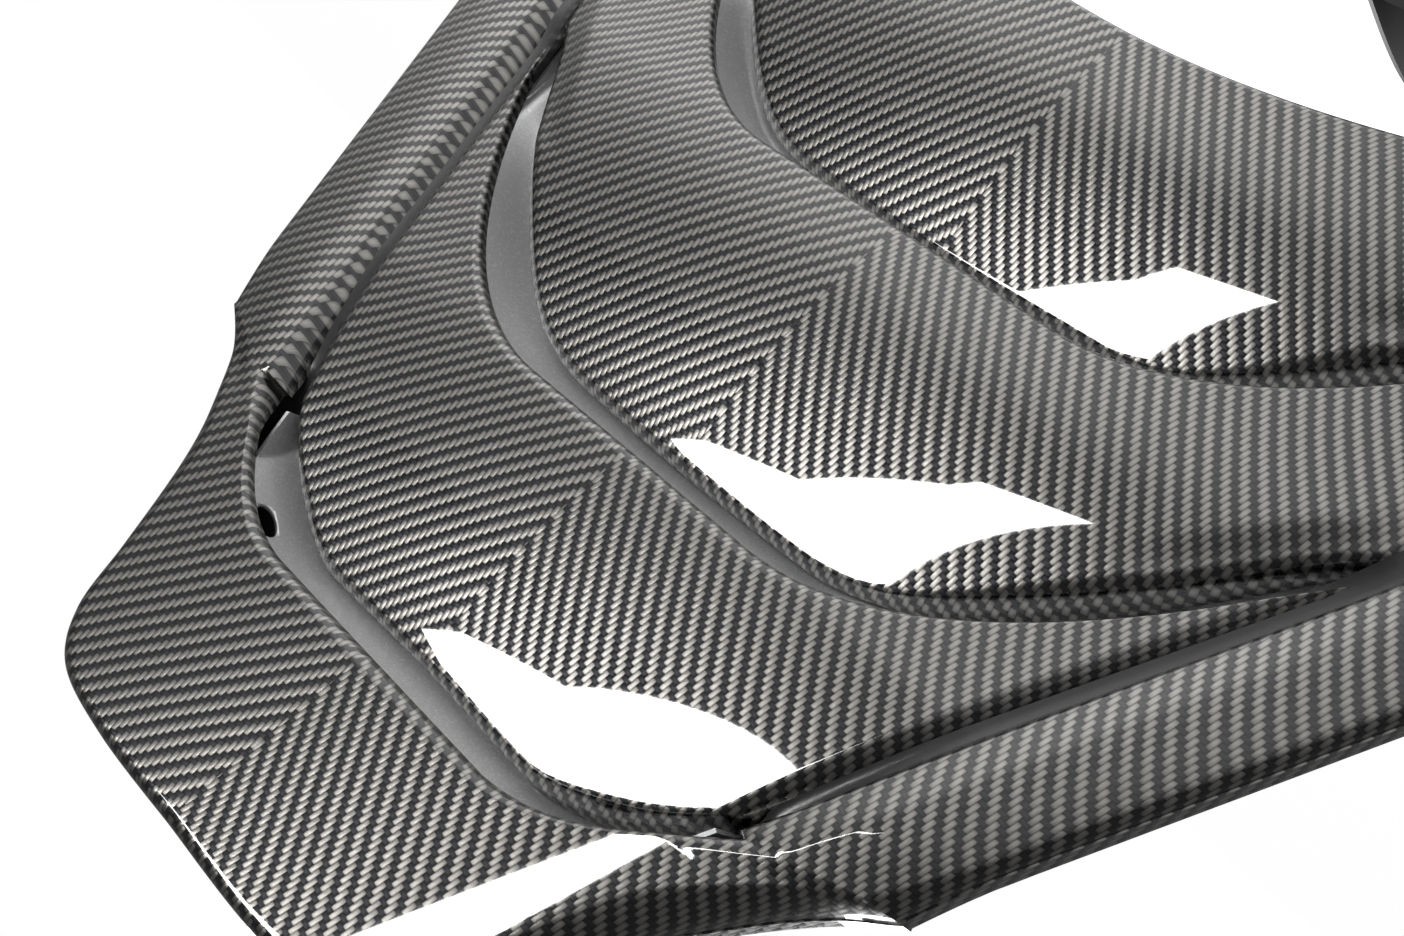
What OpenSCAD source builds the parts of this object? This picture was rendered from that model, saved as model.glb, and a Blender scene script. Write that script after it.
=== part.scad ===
// Carbon-fibre bucket seat with a louvred back, on side brackets and manual slide rails.
// Millimetres. The seat faces -Y, +Z is up, and the origin is the centre of the four floor
// bolts on the underside of the rails.
// The back is laid out in its own coordinates: x across, v down the back from back_z,
// and h out of the back, rearwards, from back_y.

/* [Back] */
// Height above the floor of the line v = 0, at the upper louvre
back_z = 760; // [755:1:765]
// Depth of the plane h = 0 behind the floor bolts' centre
back_y = 383.6; // [382:0.2:386]
// Lean of the back: millimetres forward for each millimetre down
lean = 0.28; // [0.27:0.005:0.29]
// Height of the back's mean surface on the line v = 0
lean_h = 22; // [20:1:24]
// Width of the shoulder flange from its groove to its outer edge
flange_w = 52; // [48:1:56]
// Thickness of the louvre blades and of the outer shell
skin_t = 2.4; // [2:0.1:2.8]
// Plan width of the silver wall below each lip
step_w = 6.5; // [6:0.5:8]

/* [Bucket] */
// Thickness of the inner bucket
bucket_t = 4; // [3:0.5:4]
// Width of the belts' slots
belt_w = 78; // [70:1:80]
// Height of the belts' slots
belt_h = 22; // [18:1:24]

/* [Rails] */
// Distance between the floor bolts across the seat
bolt_x = 410; // [410:1:412]
// Distance between the floor bolts along the seat
bolt_y = 340; // [330:1:350]
// Diameter of the floor bolts' holes
bolt_d = 8.5; // [8:0.1:9]
// Length of the lower rails
lower_l = 440; // [430:1:450]
// Length of the upper rails
upper_l = 330; // [320:1:340]

/* [Hidden] */
$fn = 48;
eps = 0.01;

// ---------- curves of the back ----------
// Each lip is an arch: flat across the middle, then falling away to its two ends on the groove.
// [v in the middle, half width of the flat part, fall per squared millimetre, x of the ends]
LIP_TOP = [-110, 60, 0.00683, 137];
LIP_MID = [-2, 60, 0.0049, 219];
LIP_LOW = [122, 75, 0.0054, 239];
EDGE_FAR = [238, 0, 0.00132, 235];
function arch(lip, x) = lip[0] + lip[2] * pow(max(0, abs(x) - lip[1]), 2);
function arch_slope(lip, x) = 2 * lip[2] * max(0, abs(x) - lip[1]) * sign(x);
function arch_point(lip, a) = [a * lip[3], arch(lip, a * lip[3])];
function arch_normal(lip, a) =
    let (m = arch_slope(lip, a * lip[3])) [-m, 1] / norm([m, 1]);

// The groove between the blades and the shoulder flange.
groove_0 = 163.5;
groove_m = 0.455;
groove_turn = 110;
groove_peak = 230;
function groove_x(v) =
    v < groove_turn ? groove_0 + groove_m * v
    : v < groove_peak
        ? groove_0 + groove_m * v - groove_m / (groove_peak - groove_turn) / 2 * pow(v - groove_turn, 2)
    : groove_0 + groove_m * (groove_peak + groove_turn) / 2 - 0.0009 * pow(v - groove_peak, 2);

// Mean surface of the back. Below fold_v it closes on the bucket.
fold_v = 300;
fold_in = 0.1;
end_v = 425;
function mean_h(v) = lean_h - lean * v;
function back_point(x, v, h) = [x, back_y + h, back_z - v];

// Surface of each blade down its middle: [v, height there, slope, bend, v of its lip's middle].
UPPER_SWELL = [-50, 30.5, -0.077, -0.0017, LIP_MID[0]];
MIDDLE_SWELL = [60, 0, 0, -0.0021, LIP_LOW[0]];
LOWER_SWELL = [170, -31.2, 0.095, -0.0020, EDGE_FAR[0]];
HEAD_SWELL = [0, 0, 0, 0, -1000];
crown = 0.00021;
head_rise = 3;
// The head section stands a little steeper than the back's mean surface, from its lip upwards.
head_turn = 0.04;
head_turn_v = -84;
side_rise = 2.5;
fade = 70;
function swollen(swell, v) = swell[1] + swell[2] * (v - swell[0]) + swell[3] * pow(v - swell[0], 2);
// Beside the lip, a blade's sides run on at the back's mean surface.
function panel_h(swell, x, v) =
    swell == HEAD_SWELL
    ? mean_h(v) + head_rise + head_turn * min(0, v - head_turn_v) - crown * x * x
    : let (end = swell[4], middle = v < end ? swollen(swell, v)
        : mean_h(v) + (swollen(swell, end) - mean_h(end)) * exp((end - v) / fade))
    middle - crown * x * x + side_rise * pow(min(1, abs(x) / groove_x(v)), 4);

// Rounded edge: the drop of a surface at distance e from its edge, for a radius r.
function roll(e, r) = e >= r ? 0 : r - sqrt(max(0, r * r - pow(r - e, 2)));

// ---------- grids and slabs ----------
function lerp(a, b, t) = a + (b - a) * t;
function unit(a) = a / norm(a);
function smooth(t) = let (c = min(1, max(0, t))) c * c * (3 - 2 * c);
function catmull(a, b, c, d, t) =
    0.5 * (2 * b + (c - a) * t + (2 * a - 5 * b + 4 * c - d) * t * t + (3 * b - a - 3 * c + d) * t * t * t);
function along(list, u) =
    let (last = len(list) - 1, i = min(max(0, floor(u)), last - 1), t = u - i)
    catmull(list[max(i - 1, 0)], list[i], list[i + 1], list[min(i + 2, last)], t);

// Normals of a grid of points, one for each point.
function grid_normal(g, i, j) =
    let (r = len(g) - 1, c = len(g[0]) - 1,
        du = g[min(i + 1, r)][j] - g[max(i - 1, 0)][j],
        dv = g[i][min(j + 1, c)] - g[i][max(j - 1, 0)])
    unit(cross(du, dv));
function offset_grid(g, d) =
    [for (i = [0 : len(g) - 1]) [for (j = [0 : len(g[0]) - 1]) g[i][j] + d * grid_normal(g, i, j)]];

// Closed solid between two grids of the same size; lo is the side that the normals point away from.
module slab(lo, hi) {
    r = len(lo);
    c = len(lo[0]);
    n = r * c;
    points = concat([for (row = lo) each row], [for (row = hi) each row]);
    function quad(a, b, d, e) = [[a, b, d], [a, d, e]];
    faces = concat(
        [for (i = [0 : r - 2], j = [0 : c - 2]) let (k = i * c + j) each quad(k, k + c, k + c + 1, k + 1)],
        [for (i = [0 : r - 2], j = [0 : c - 2]) let (k = n + i * c + j) each quad(k, k + 1, k + c + 1, k + c)],
        [for (i = [0 : r - 2]) let (k = i * c) each quad(k, n + k, n + k + c, k + c)],
        [for (i = [0 : r - 2]) let (k = i * c + c - 1) each quad(k, k + c, n + k + c, n + k)],
        [for (j = [0 : c - 2]) each quad(j, j + 1, n + j + 1, n + j)],
        [for (j = [0 : c - 2]) let (k = (r - 1) * c + j) each quad(k, n + k, n + k + 1, k + 1)]);
    polyhedron(points, faces, convexity = 10);
}

module both_sides() {
    children();
    mirror([1, 0, 0]) children();
}

// ---------- inner bucket ----------
// Stations along its middle line, from under the thighs to the top of the head section:
// [y, z, half width of the flat part, half width at the rim, height of the rim above the flat part]
STATIONS = [
    [-318, 112, 150, 206, 5], [-304, 145, 150, 214, 20], [-262, 156, 148, 226, 48],
    [-160, 134, 142, 234, 80], [-50, 110, 138, 236, 98], [50, 94, 134, 236, 112],
    [118, 104, 130, 236, 112], [160, 150, 126, 238, 118], [184, 216, 122, 238, 138],
    [204, 290, 120, 238, 148], [236, 405, 120, 252, 150], [253, 465, 124, 268, 150],
    [269, 522, 130, 278, 142], [285, 579, 136, 279, 95], [297, 620, 140, 271, 5],
    [308, 660, 142, 257, -46], [319, 700, 140, 238, -56], [336, 760, 132, 211, -56],
    [353, 820, 108, 182, -56], [370, 882, 88, 126, -57], [382, 925, 78, 101, -52],
    [397, 941, 70, 88, -14], [432, 945, 66, 82, -4]];
last_u = len(STATIONS) - 1;
flat_share = 0.42;
power = 2 / 2.4;
dish = 5;
function station_tangent(u) =
    let (e = 0.9, d = along(STATIONS, min(last_u, u + e)) - along(STATIONS, max(0, u - e))) unit([d[0], d[1]]);
function bucket_point(u, s) =
    let (k = along(STATIONS, u), t = station_tangent(u), a = abs(s),
        q = min(1, max(0, (a - flat_share) / (1 - flat_share))) * 90,
        x = a < flat_share ? a / flat_share * k[2] : k[2] + (k[3] - k[2]) * pow(sin(q), power),
        o = dish * pow(min(1, a / flat_share), 2) + k[4] * (1 - pow(max(0, cos(q)), power)))
    [(s < 0 ? -x : x), k[0] - t[1] * o, k[1] + t[0] * o];
function bucket_grid(us, ss) = [for (u = us) [for (s = ss) bucket_point(u, s)]];
rows_u = [0, 0.5, 1, for (u = [1.5 : 0.5 : 10]) u, 11, 12, for (u = [12.5 : 0.5 : 15]) u, 16, 17, 18, 19, 20,
    for (u = [20.5 : 0.5 : last_u]) u];
half_cols = 9;
cols_s = [for (j = [half_cols : -1 : -half_cols]) let (a = abs(j) / half_cols)
    sign(j) * (a < 0.34 ? a / 0.34 * flat_share : flat_share + (1 - flat_share) * (a - 1 / 3) * 1.5)];

// Places its children on the bucket's inside at (u, s), with their z axis out of the wall.
function bucket_out(u, s) =
    let (e = 0.02) unit(cross(bucket_point(u, s + e) - bucket_point(u, s - e),
        bucket_point(u + e, s) - bucket_point(u - e, s)));
module on_wall(u, s, spin = 0) {
    n = bucket_out(u, s);
    translate(bucket_point(u, s)) rotate([0, acos(n[2]), atan2(n[1], n[0])]) rotate([0, 0, spin]) children();
}
module rounded(w, h, r) {
    for (x = [-1, 1], y = [-1, 1]) translate([x * (w / 2 - r), y * (h / 2 - r)]) circle(r, $fn = 24);
    square([w, h - 2 * r], center = true);
    square([w - 2 * r, h], center = true);
}

// The opening in the middle of the back.
window_u = 11.05;
window_w = 296;
window_h = 132;
window_r = 34;
// Slots for the harness: place on the bucket [u, s], then width and height of the slot's clear opening.
SHOULDER = [14.5, 0.26];
LAP = [7.75, 0.74];
CROTCH = [3.36, 0];
lap_w = 52;
crotch_h = 26;
slot_r = 8;
cut_depth = 60;
bezel_t = 4;
module belt_slots(grow = 0) {
    both_sides() on_wall(SHOULDER[0], SHOULDER[1], 90)
        linear_extrude(cut_depth, center = true) rounded(belt_w + grow, belt_h + grow, slot_r + grow / 2);
    both_sides() on_wall(LAP[0], LAP[1])
        linear_extrude(cut_depth, center = true) rounded(lap_w + grow, belt_h + grow, slot_r + grow / 2);
    on_wall(CROTCH[0], CROTCH[1], 90)
        linear_extrude(cut_depth, center = true) rounded(belt_w + grow, crotch_h + grow, slot_r + grow / 2);
}
// Threaded inserts for the side brackets, potted in the bucket's sides.
INSERT_Y = [-220, 70];
INSERT_IN = [200, 219];
insert_z = 172;
insert_d = 18;
bracket_x = 242;
thread_d = 8;
module insert_cuts() {
    for (y = INSERT_Y) translate([0, y, insert_z]) rotate([0, 90, 0])
        cylinder(d = insert_d, h = 2 * bracket_x, center = true);
}
// The bucket is moulded in four lengths that are bonded end to end: [first row, last row] of each.
PAN_ROWS = [0, 8];
HIP_ROWS = [8, 19];
BACK_ROWS = [19, 28];
HEAD_ROWS = [28, len(rows_u) - 1];
bucket_inner = bucket_grid(rows_u, cols_s);
bucket_outer = offset_grid(bucket_inner, -bucket_t);
module bucket_length(rows) {
    color([0.10, 0.10, 0.11]) difference() {
        slab([for (i = [rows[0] : rows[1]]) bucket_outer[i]], [for (i = [rows[0] : rows[1]]) bucket_inner[i]]);
        on_wall(window_u, 0, 90) linear_extrude(cut_depth, center = true) rounded(window_w, window_h, window_r);
        belt_slots(2 * bezel_t);
        insert_cuts();
    }
}
module bucket_pan() bucket_length(PAN_ROWS);
module bucket_hips() bucket_length(HIP_ROWS);
module bucket_back() bucket_length(BACK_ROWS);
module bucket_head() bucket_length(HEAD_ROWS);

// ---------- outer shell: head panel and shoulder flanges ----------
// Outline of the head section's right half, from the middle of its top to the flange's corner: [x, v]
HEAD_EDGE = [[0, -191], [50, -191], [87, -186.5], [106, -172], [117, -148], [134, -118],
    [152, -92], [172, -69], [191, -56]];
head_last = len(HEAD_EDGE) - 1;
head_share = 0.36;
corner_v = -56;
groove_start = arch(LIP_TOP, LIP_TOP[3]);
function outer_edge(p) =
    let (a = abs(p))
    a <= head_share ? along(HEAD_EDGE, a / head_share * head_last)
    : let (v = lerp(corner_v, end_v, (a - head_share) / (1 - head_share))) [groove_x(v) + flange_w, v];
function inner_edge(p) =
    let (a = abs(p))
    a <= head_share ? let (x = a / head_share * LIP_TOP[3]) [x, arch(LIP_TOP, x)]
    : let (v = lerp(groove_start, end_v, (a - head_share) / (1 - head_share))) [groove_x(v) + 1.5, v];
// The blades' ends and the flange both drop into the groove.
groove_d = 7;
lip_r = 5;
valley_w = 9;
function valley(g) = groove_d * pow(max(0, 1 - g / valley_w), 1.8);
function groove_h(v) =
    let (x = groove_x(v))
    lerp(lerp(panel_h(UPPER_SWELL, x, v), panel_h(MIDDLE_SWELL, x, v), smooth((v - 100) / 30)),
        panel_h(LOWER_SWELL, x, v), smooth((v - 180) / 30));
// Height of the flange at share q of its width and distance e from the groove.
flange_rise = 1;
flange_hollow = 3;
function flange_h(q, e, v) =
    mean_h(v) + flange_rise - flange_hollow * (1 - smooth(e / 24)) - flange_hollow * pow(max(0, 2 * q - 1), 2)
    - valley(e) * (mean_h(v) + flange_rise - flange_hollow - groove_h(v) + groove_d) / groove_d;
side_start = 118;
side_full = 215;
// The side wall below the shoulders runs forward from the flange's edge to the bucket's rim.
rim_out = 7.5;
function rim_u(v) = let (z = back_z - v) lookup(z, [for (u = [9 : 0.25 : 16]) [bucket_point(u, 1)[2], u]]);
function rim_point(v) = let (u = rim_u(v), p = bucket_point(u, 1)) [p[0] + rim_out, p[1], back_z - v];
function outer_point(p, q) =
    let (i = inner_edge(p), o = outer_edge(p), a = abs(p),
        s = min(1, q), x = lerp(i[0], o[0], s), v = lerp(i[1], o[1], s),
        w = norm(o - i), e_out = (1 - s) * w, e_in = s * w,
        f = smooth((a - head_share + 0.05) / 0.09),
        r_out = lerp(7, 16, smooth((a / head_share - 0.45) / 0.3)) * (1 - f) + 5 * f,
        head = panel_h(HEAD_SWELL, x, v) - roll(e_in, lip_r),
        h = lerp(head, flange_h(s, e_in, v), f) - roll(e_out, r_out),
        skirt = max(0, q - 1),
        k = smooth((v - side_start) / (side_full - side_start)),
        top = back_point(x, v, h),
        rim = rim_point(max(v, side_start)),
        wall = [lerp(top[0], rim[0], skirt) + 10 * sin(180 * skirt), lerp(top[1], rim[1], skirt), top[2]],
        lip = [top[0] + 0.6, top[1] - 7 * skirt, top[2]],
        body = skirt > 0 ? lerp(lip, wall, k) : top,
        fold = smooth((v - fold_v) / (end_v - fold_v)),
        land_u = rim_u(v) - fold_in, land_s = lerp(flat_share, 0.97, (s + skirt) / 2),
        land = bucket_point(land_u, land_s) - (bucket_t + skin_t + 1.4) * bucket_out(land_u, land_s),
        point = lerp(body, land, fold))
    [(p < 0 ? -1 : 1) * point[0], point[1], point[2]];
outer_ps = [for (j = [33 : -1 : -33]) j / 33];
outer_qs = [0, 0.04, 0.12, 0.3, 0.5, 0.7, 0.86, 0.95, 1, 1.12, 1.45, 1.8, 2];
module outer_shell() {
    grid = [for (p = outer_ps) [for (q = outer_qs) outer_point(p, q)]];
    color([0.12, 0.12, 0.13]) slab(offset_grid(grid, -skin_t), grid);
}

// ---------- louvre blades and liners ----------
// Each step of the back: [lip above it, plan width of its silver wall in the middle and further out,
// lip of the blade below it, surface above the step, surface of the blade, radius of the blade's upper edge
// further out]
UPPER = [LIP_TOP, [step_w, step_w - 1], LIP_MID, HEAD_SWELL, UPPER_SWELL, 12];
MIDDLE = [LIP_MID, [step_w, step_w + 2], LIP_LOW, UPPER_SWELL, MIDDLE_SWELL, 16];
LOWER = [LIP_LOW, [step_w - 1.5, step_w + 1.5], EDGE_FAR, MIDDLE_SWELL, LOWER_SWELL, 16];
edge_gap = 0.8;
hem = 2;
tuck = 3;
edge_roll = 4;
wall_close = 24;
function wall_width(step, a) =
    lerp(step[1][0], step[1][1], smooth(a / 0.45)) * (1 - pow(a, wall_close));
function upper_radius(step, a) = lip_r + (step[5] - lip_r) * smooth((a - 0.4) / 0.3) * (1 - pow(a, 14));
// A blade's upper edge lies below the lip above it, and meets it at the groove.
function tucked(step, x, v) =
    let (g = max(0, groove_x(v) - x))
    min(panel_h(step[4], x, v), panel_h(step[3], x, v) - tuck * smooth(g / 40));
// Plan of a blade: share a of its half width, b down it from its upper edge to its own lip.
function blade_plan(step, a, b) =
    lerp(arch_point(step[0], a) + wall_width(step, a) * arch_normal(step[0], a), arch_point(step[2], a), b);
function blade_point(step, p, q) =
    let (a = abs(p), b = min(q, 1), xv = blade_plan(step, a, b), end = blade_plan(step, 1, b),
        x = xv[0] + pow(a, 14) * (groove_x(end[1]) - edge_gap - end[0]), v = xv[1],
        length = arch_point(step[2], a)[1] - arch_point(step[0], a)[1],
        h = lerp(panel_h(step[4], x, v), tucked(step, x, v), smooth(1 - b * length / 40))
            - valley(max(0, groove_x(v) - x)) - roll((1 - b) * length, edge_roll)
            - roll(b * length, upper_radius(step, a)))
    back_point((p < 0 ? -1 : 1) * x, v, h - (q > 1 ? hem : 0));
blade_ps = [for (j = [-14 : 14]) let (a = abs(j) / 14) sign(j) * pow(a, 0.8)];
blade_qs = [0, 0.012, 0.04, 0.09, 0.16, 0.35, 0.6, 0.85, 0.95, 0.985, 1, 1.01];
module blade(step) {
    grid = [for (p = blade_ps) [for (q = blade_qs) blade_point(step, p, q)]];
    color([0.13, 0.13, 0.14]) slab(offset_grid(grid, -skin_t), grid);
}
module louvre_blade_upper() blade(UPPER);
module louvre_blade_middle() blade(MIDDLE);
module louvre_blade_lower() blade(LOWER);

// Wall below a lip: p runs across it, q from behind the lip to under the next blade's edge.
liner_t = 1.6;
liner_gap = 1.5;
liner_end_gap = 6;
liner_tuck = 4;
function liner_point(step, p, q) =
    let (a = abs(p),
        out = lerp(-lip_r, wall_width(step, a) + liner_tuck, q),
        xv = arch_point(step[0], a) + out * arch_normal(step[0], a),
        v = xv[1], x = min(xv[0], groove_x(v) - 3),
        high = panel_h(step[3], x, v) - lip_r - hem - liner_gap,
        gap = lerp(liner_gap, liner_end_gap, pow(a, 8)),
        low = min(high, tucked(step, x, v) - upper_radius(step, a) - skin_t - gap),
        h = lerp(high, low, 1 - pow(1 - q, 2)) - valley(max(0, groove_x(v) - x)))
    back_point((p < 0 ? -1 : 1) * x, v, h);
module liner(step) {
    grid = [for (p = [-1 : 1 / 12 : 1.001]) [for (q = [0 : 0.2 : 1.001]) liner_point(step, p, q)]];
    color([0.72, 0.73, 0.75]) slab(offset_grid(grid, -liner_t), grid);
}
module louvre_liner_upper() liner(UPPER);
module louvre_liner_middle() liner(MIDDLE);
module louvre_liner_lower() liner(LOWER);

// Resin run into the groove, over the blades' ends and the flange's edge.
bond_half = 7;
bond_t = 3;
function bond_point(v, g) =
    back_point(groove_x(v) + 0.6 + g, v, groove_h(v) - 0.8 * groove_d + 0.05 * g * g);
module groove_bond() {
    grid = [for (v = [groove_start + 4 : 12 : 298]) [for (g = [-bond_half : bond_half / 2 : bond_half])
        bond_point(v, g)]];
    color([0.04, 0.04, 0.045]) slab(grid, offset_grid(grid, bond_t));
}
module groove_bond_right() groove_bond();
module groove_bond_left() mirror([1, 0, 0]) groove_bond();

// Rubber edging in the back's opening.
trim_t = 3;
module window_trim() {
    color([0.05, 0.05, 0.05]) on_wall(window_u, 0, 90) translate([0, 0, -bucket_t - 3])
        linear_extrude(bucket_t + 9) difference() {
            rounded(window_w - 0.4, window_h - 0.4, window_r);
            rounded(window_w - 2 * trim_t, window_h - 2 * trim_t, window_r - trim_t);
        }
}

// ---------- pads ----------
pad_gap = 1;
pad_edge = 7;
function pad_rise(a, b, t) = pad_edge + (t - pad_edge) * pow((1 - pow(abs(a), 4)) * (1 - pow(abs(b), 4)), 0.5);
module pad(u0, u1, s0, s1, t, rows, cols, gap = pad_gap) {
    base = offset_grid([for (i = [0 : rows]) [for (j = [0 : cols])
        bucket_point(lerp(u0, u1, i / rows), lerp(s1, s0, j / cols))]], gap);
    top = [for (i = [0 : rows]) [for (j = [0 : cols])
        base[i][j] + pad_rise(2 * i / rows - 1, 2 * j / cols - 1, t) * grid_normal(base, i, j)]];
    slab(base, top);
}
pad_black = [0.07, 0.07, 0.08];
module head_pad() color(pad_black) pad(17.15, 18.95, -0.4, 0.4, 32, 8, 10);
module upper_back_pad() color(pad_black) pad(15.15, 16.85, -0.4, 0.4, 24, 8, 12);
module mid_back_pad() color(pad_black) pad(12.35, 13.8, -0.4, 0.4, 22, 7, 12);
module lumbar_pad() color(pad_black) pad(8.5, 9.85, -0.42, 0.42, 34, 8, 12);
module seat_cushion() {
    color(pad_black) difference() {
        pad(1.9, 6.2, -0.42, 0.42, 42, 16, 12, 2 * pad_gap);
        on_wall(CROTCH[0], CROTCH[1], 90) linear_extrude(120, center = true) rounded(belt_w + 24, 52, 16);
    }
}
module torso_pad() color(pad_black) pad(9.7, 13.1, 0.6, 0.95, 26, 10, 6, 3 * pad_gap);
module hip_pad() color(pad_black) pad(2.8, 4.8, 0.58, 0.95, 20, 8, 6, 2 * pad_gap);
module torso_pad_right() torso_pad();
module torso_pad_left() mirror([1, 0, 0]) torso_pad();
module hip_pad_right() hip_pad();
module hip_pad_left() mirror([1, 0, 0]) hip_pad();

// ---------- belt bezels ----------
module bezel(place, w, h, spin, lift = 2) {
    flange = 5;
    color([0.06, 0.06, 0.07]) on_wall(place[0], place[1], spin) difference() {
        union() {
            translate([0, 0, -bucket_t - 3]) linear_extrude(bucket_t + 5 + lift)
                rounded(w + 2 * bezel_t - 0.4, h + 2 * bezel_t - 0.4, slot_r + bezel_t);
            translate([0, 0, lift]) linear_extrude(2.5)
                rounded(w + 2 * (bezel_t + flange), h + 2 * (bezel_t + flange), slot_r + bezel_t + flange);
        }
        linear_extrude(cut_depth, center = true) rounded(w, h, slot_r);
    }
}
module shoulder_belt_bezel_right() bezel(SHOULDER, belt_w, belt_h, 90);
module shoulder_belt_bezel_left() mirror([1, 0, 0]) shoulder_belt_bezel_right();
module lap_belt_bezel_right() bezel(LAP, lap_w, belt_h, 0, 6);
module lap_belt_bezel_left() mirror([1, 0, 0]) lap_belt_bezel_right();
module crotch_belt_bezel() bezel(CROTCH, belt_w, crotch_h, 90);

// ---------- side brackets and their fasteners ----------
// Places its children at each insert, with their z axis out of the seat's side.
module at_inserts(sides = [-1, 1]) {
    for (side = sides, y = INSERT_Y) translate([side * bracket_x, y, insert_z]) rotate([0, side * 90, 0])
        children();
}
module shell_inserts() {
    color([0.62, 0.63, 0.65]) for (side = [-1, 1], i = [0, 1])
        translate([side * bracket_x, INSERT_Y[i], insert_z]) rotate([0, -side * 90, 0]) difference() {
            cylinder(d = insert_d, h = bracket_x - INSERT_IN[i]);
            translate([0, 0, -eps]) cylinder(d = thread_d, h = bracket_x - INSERT_IN[i] + 2 * eps);
        }
}
bracket_t = 4;
rail_x = bolt_x / 2;
rail_top = 29;
bracket_back = 120;
bracket_front = -250;
bracket_bolt_y = 130;
module side_bracket(side) {
    inner_x = rail_x - 12;
    rows = [-30, 0];
    color([0.16, 0.16, 0.17]) difference() {
        union() {
            translate([side * (bracket_x + bracket_t / 2), 0, 0]) rotate([90, 0, 90])
                linear_extrude(bracket_t, center = true) difference() {
                    polygon([[bracket_front, insert_z + 18], [bracket_front, insert_z - 50], [-165, rail_top],
                        [150, rail_top], [bracket_back, insert_z - 50], [bracket_back, insert_z + 18],
                        [bracket_back - 90, insert_z + 18], [-20, insert_z - 45], [-120, insert_z - 45],
                        [-165, insert_z + 18]]);
                    for (y = [-60, 0, 60]) translate([y, 72]) circle(d = 34);
                    translate([-130, 74]) circle(d = 26);
                }
            translate([side * (inner_x + bracket_x + bracket_t) / 2, -7.5, rail_top + bracket_t / 2])
                cube([bracket_x + bracket_t - inner_x, 315, bracket_t], center = true);
        }
        for (y = INSERT_Y, dz = rows) translate([0, y, insert_z + dz]) rotate([0, 90, 0])
            cylinder(d = thread_d + 0.5, h = 4 * bracket_x, center = true);
        for (y = [-1, 1]) translate([side * rail_x, y * bracket_bolt_y, rail_top - 1])
            cylinder(d = thread_d, h = bracket_t + 2);
    }
}
module side_bracket_right() side_bracket(1);
module side_bracket_left() side_bracket(-1);
washer_t = 1.6;
module shell_washers() {
    color([0.7, 0.7, 0.72]) at_inserts() translate([0, 0, bracket_t]) difference() {
        cylinder(d = 24, h = washer_t);
        translate([0, 0, -eps]) cylinder(d = thread_d + 0.5, h = washer_t + 2 * eps);
    }
}
module cap_bolt(shank) {
    difference() {
        union() {
            cylinder(d = 13, h = 5);
            translate([0, 0, -shank]) cylinder(d = thread_d, h = shank);
        }
        translate([0, 0, 1.5]) cylinder(d = 6, h = 5, $fn = 6);
    }
}
module shell_bolts() color([0.2, 0.2, 0.21]) at_inserts() translate([0, 0, bracket_t + washer_t]) cap_bolt(20);
module bracket_bolts() {
    color([0.2, 0.2, 0.21]) for (x = [-1, 1], y = [-1, 1])
        translate([x * rail_x, y * bracket_bolt_y, rail_top + bracket_t]) cap_bolt(bracket_t + 2.5);
}

// ---------- slide rails ----------
rail_w = 44;
rail_h = 22;
rail_t = 2.5;
lip_w = 8;
tooth_y = [-130, -120, -110];
tooth_x = 16.6;
tooth_pitch = 10;
module lower_rail(side) {
    notch_x = -side * tooth_x;
    color([0.55, 0.56, 0.58]) translate([side * rail_x, 0, 0]) difference() {
        translate([0, lower_l / 2, 0]) rotate([90, 0, 0]) linear_extrude(lower_l) {
            translate([-rail_w / 2, 0]) square([rail_w, rail_t]);
            for (s = [-1, 1]) {
                translate([s * (rail_w - rail_t) / 2 - rail_t / 2, 0]) square([rail_t, rail_h]);
                translate([s * (rail_w - lip_w) / 2 - lip_w / 2, rail_h - rail_t]) square([lip_w, rail_t]);
            }
        }
        for (y = [-1, 1]) translate([0, y * bolt_y / 2, -1]) cylinder(d = bolt_d, h = rail_t + 2);
        for (y = [-210 : tooth_pitch : -30]) translate([notch_x, y, rail_h])
            cube([lip_w - 1, tooth_pitch * 0.66, 3 * rail_t], center = true);
    }
}
module lower_rail_right() lower_rail(1);
module lower_rail_left() lower_rail(-1);

pivot_y = -60;
pivot_z = 42;
pin_d = 8;
lug_x = 24;
lug_t = 3;
module upper_rail(side) {
    lug_mid = -side * lug_x;
    color([0.42, 0.43, 0.45]) translate([side * rail_x, 0, 0]) difference() {
        union() {
            translate([0, upper_l / 2, 0]) rotate([90, 0, 0]) linear_extrude(upper_l) {
                translate([-12, rail_top - rail_t]) square([24, rail_t]);
                for (s = [-1, 1]) {
                    translate([s * 10.75 - 1.25, 5]) square([rail_t, rail_top - 5]);
                    translate([s * 14.5 - 2.5, 5]) square([5, rail_t]);
                }
            }
            translate([lug_mid, pivot_y, (pivot_z + rail_top - rail_t) / 2 + 4])
                cube([lug_t, 24, pivot_z - rail_top + rail_t + 8], center = true);
            translate([-side * (lug_x + 11) / 2, pivot_y, rail_top - rail_t / 2])
                cube([lug_x - 11, 24, rail_t], center = true);
        }
        for (y = [-1, 1]) translate([0, y * bracket_bolt_y, rail_top - rail_t - 1])
            cylinder(d = thread_d, h = rail_t + 2);
        translate([lug_mid, pivot_y, pivot_z]) rotate([0, 90, 0])
            cylinder(d = pin_d, h = 2 * lug_t, center = true);
    }
}
module upper_rail_right() upper_rail(1);
module upper_rail_left() upper_rail(-1);

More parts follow.
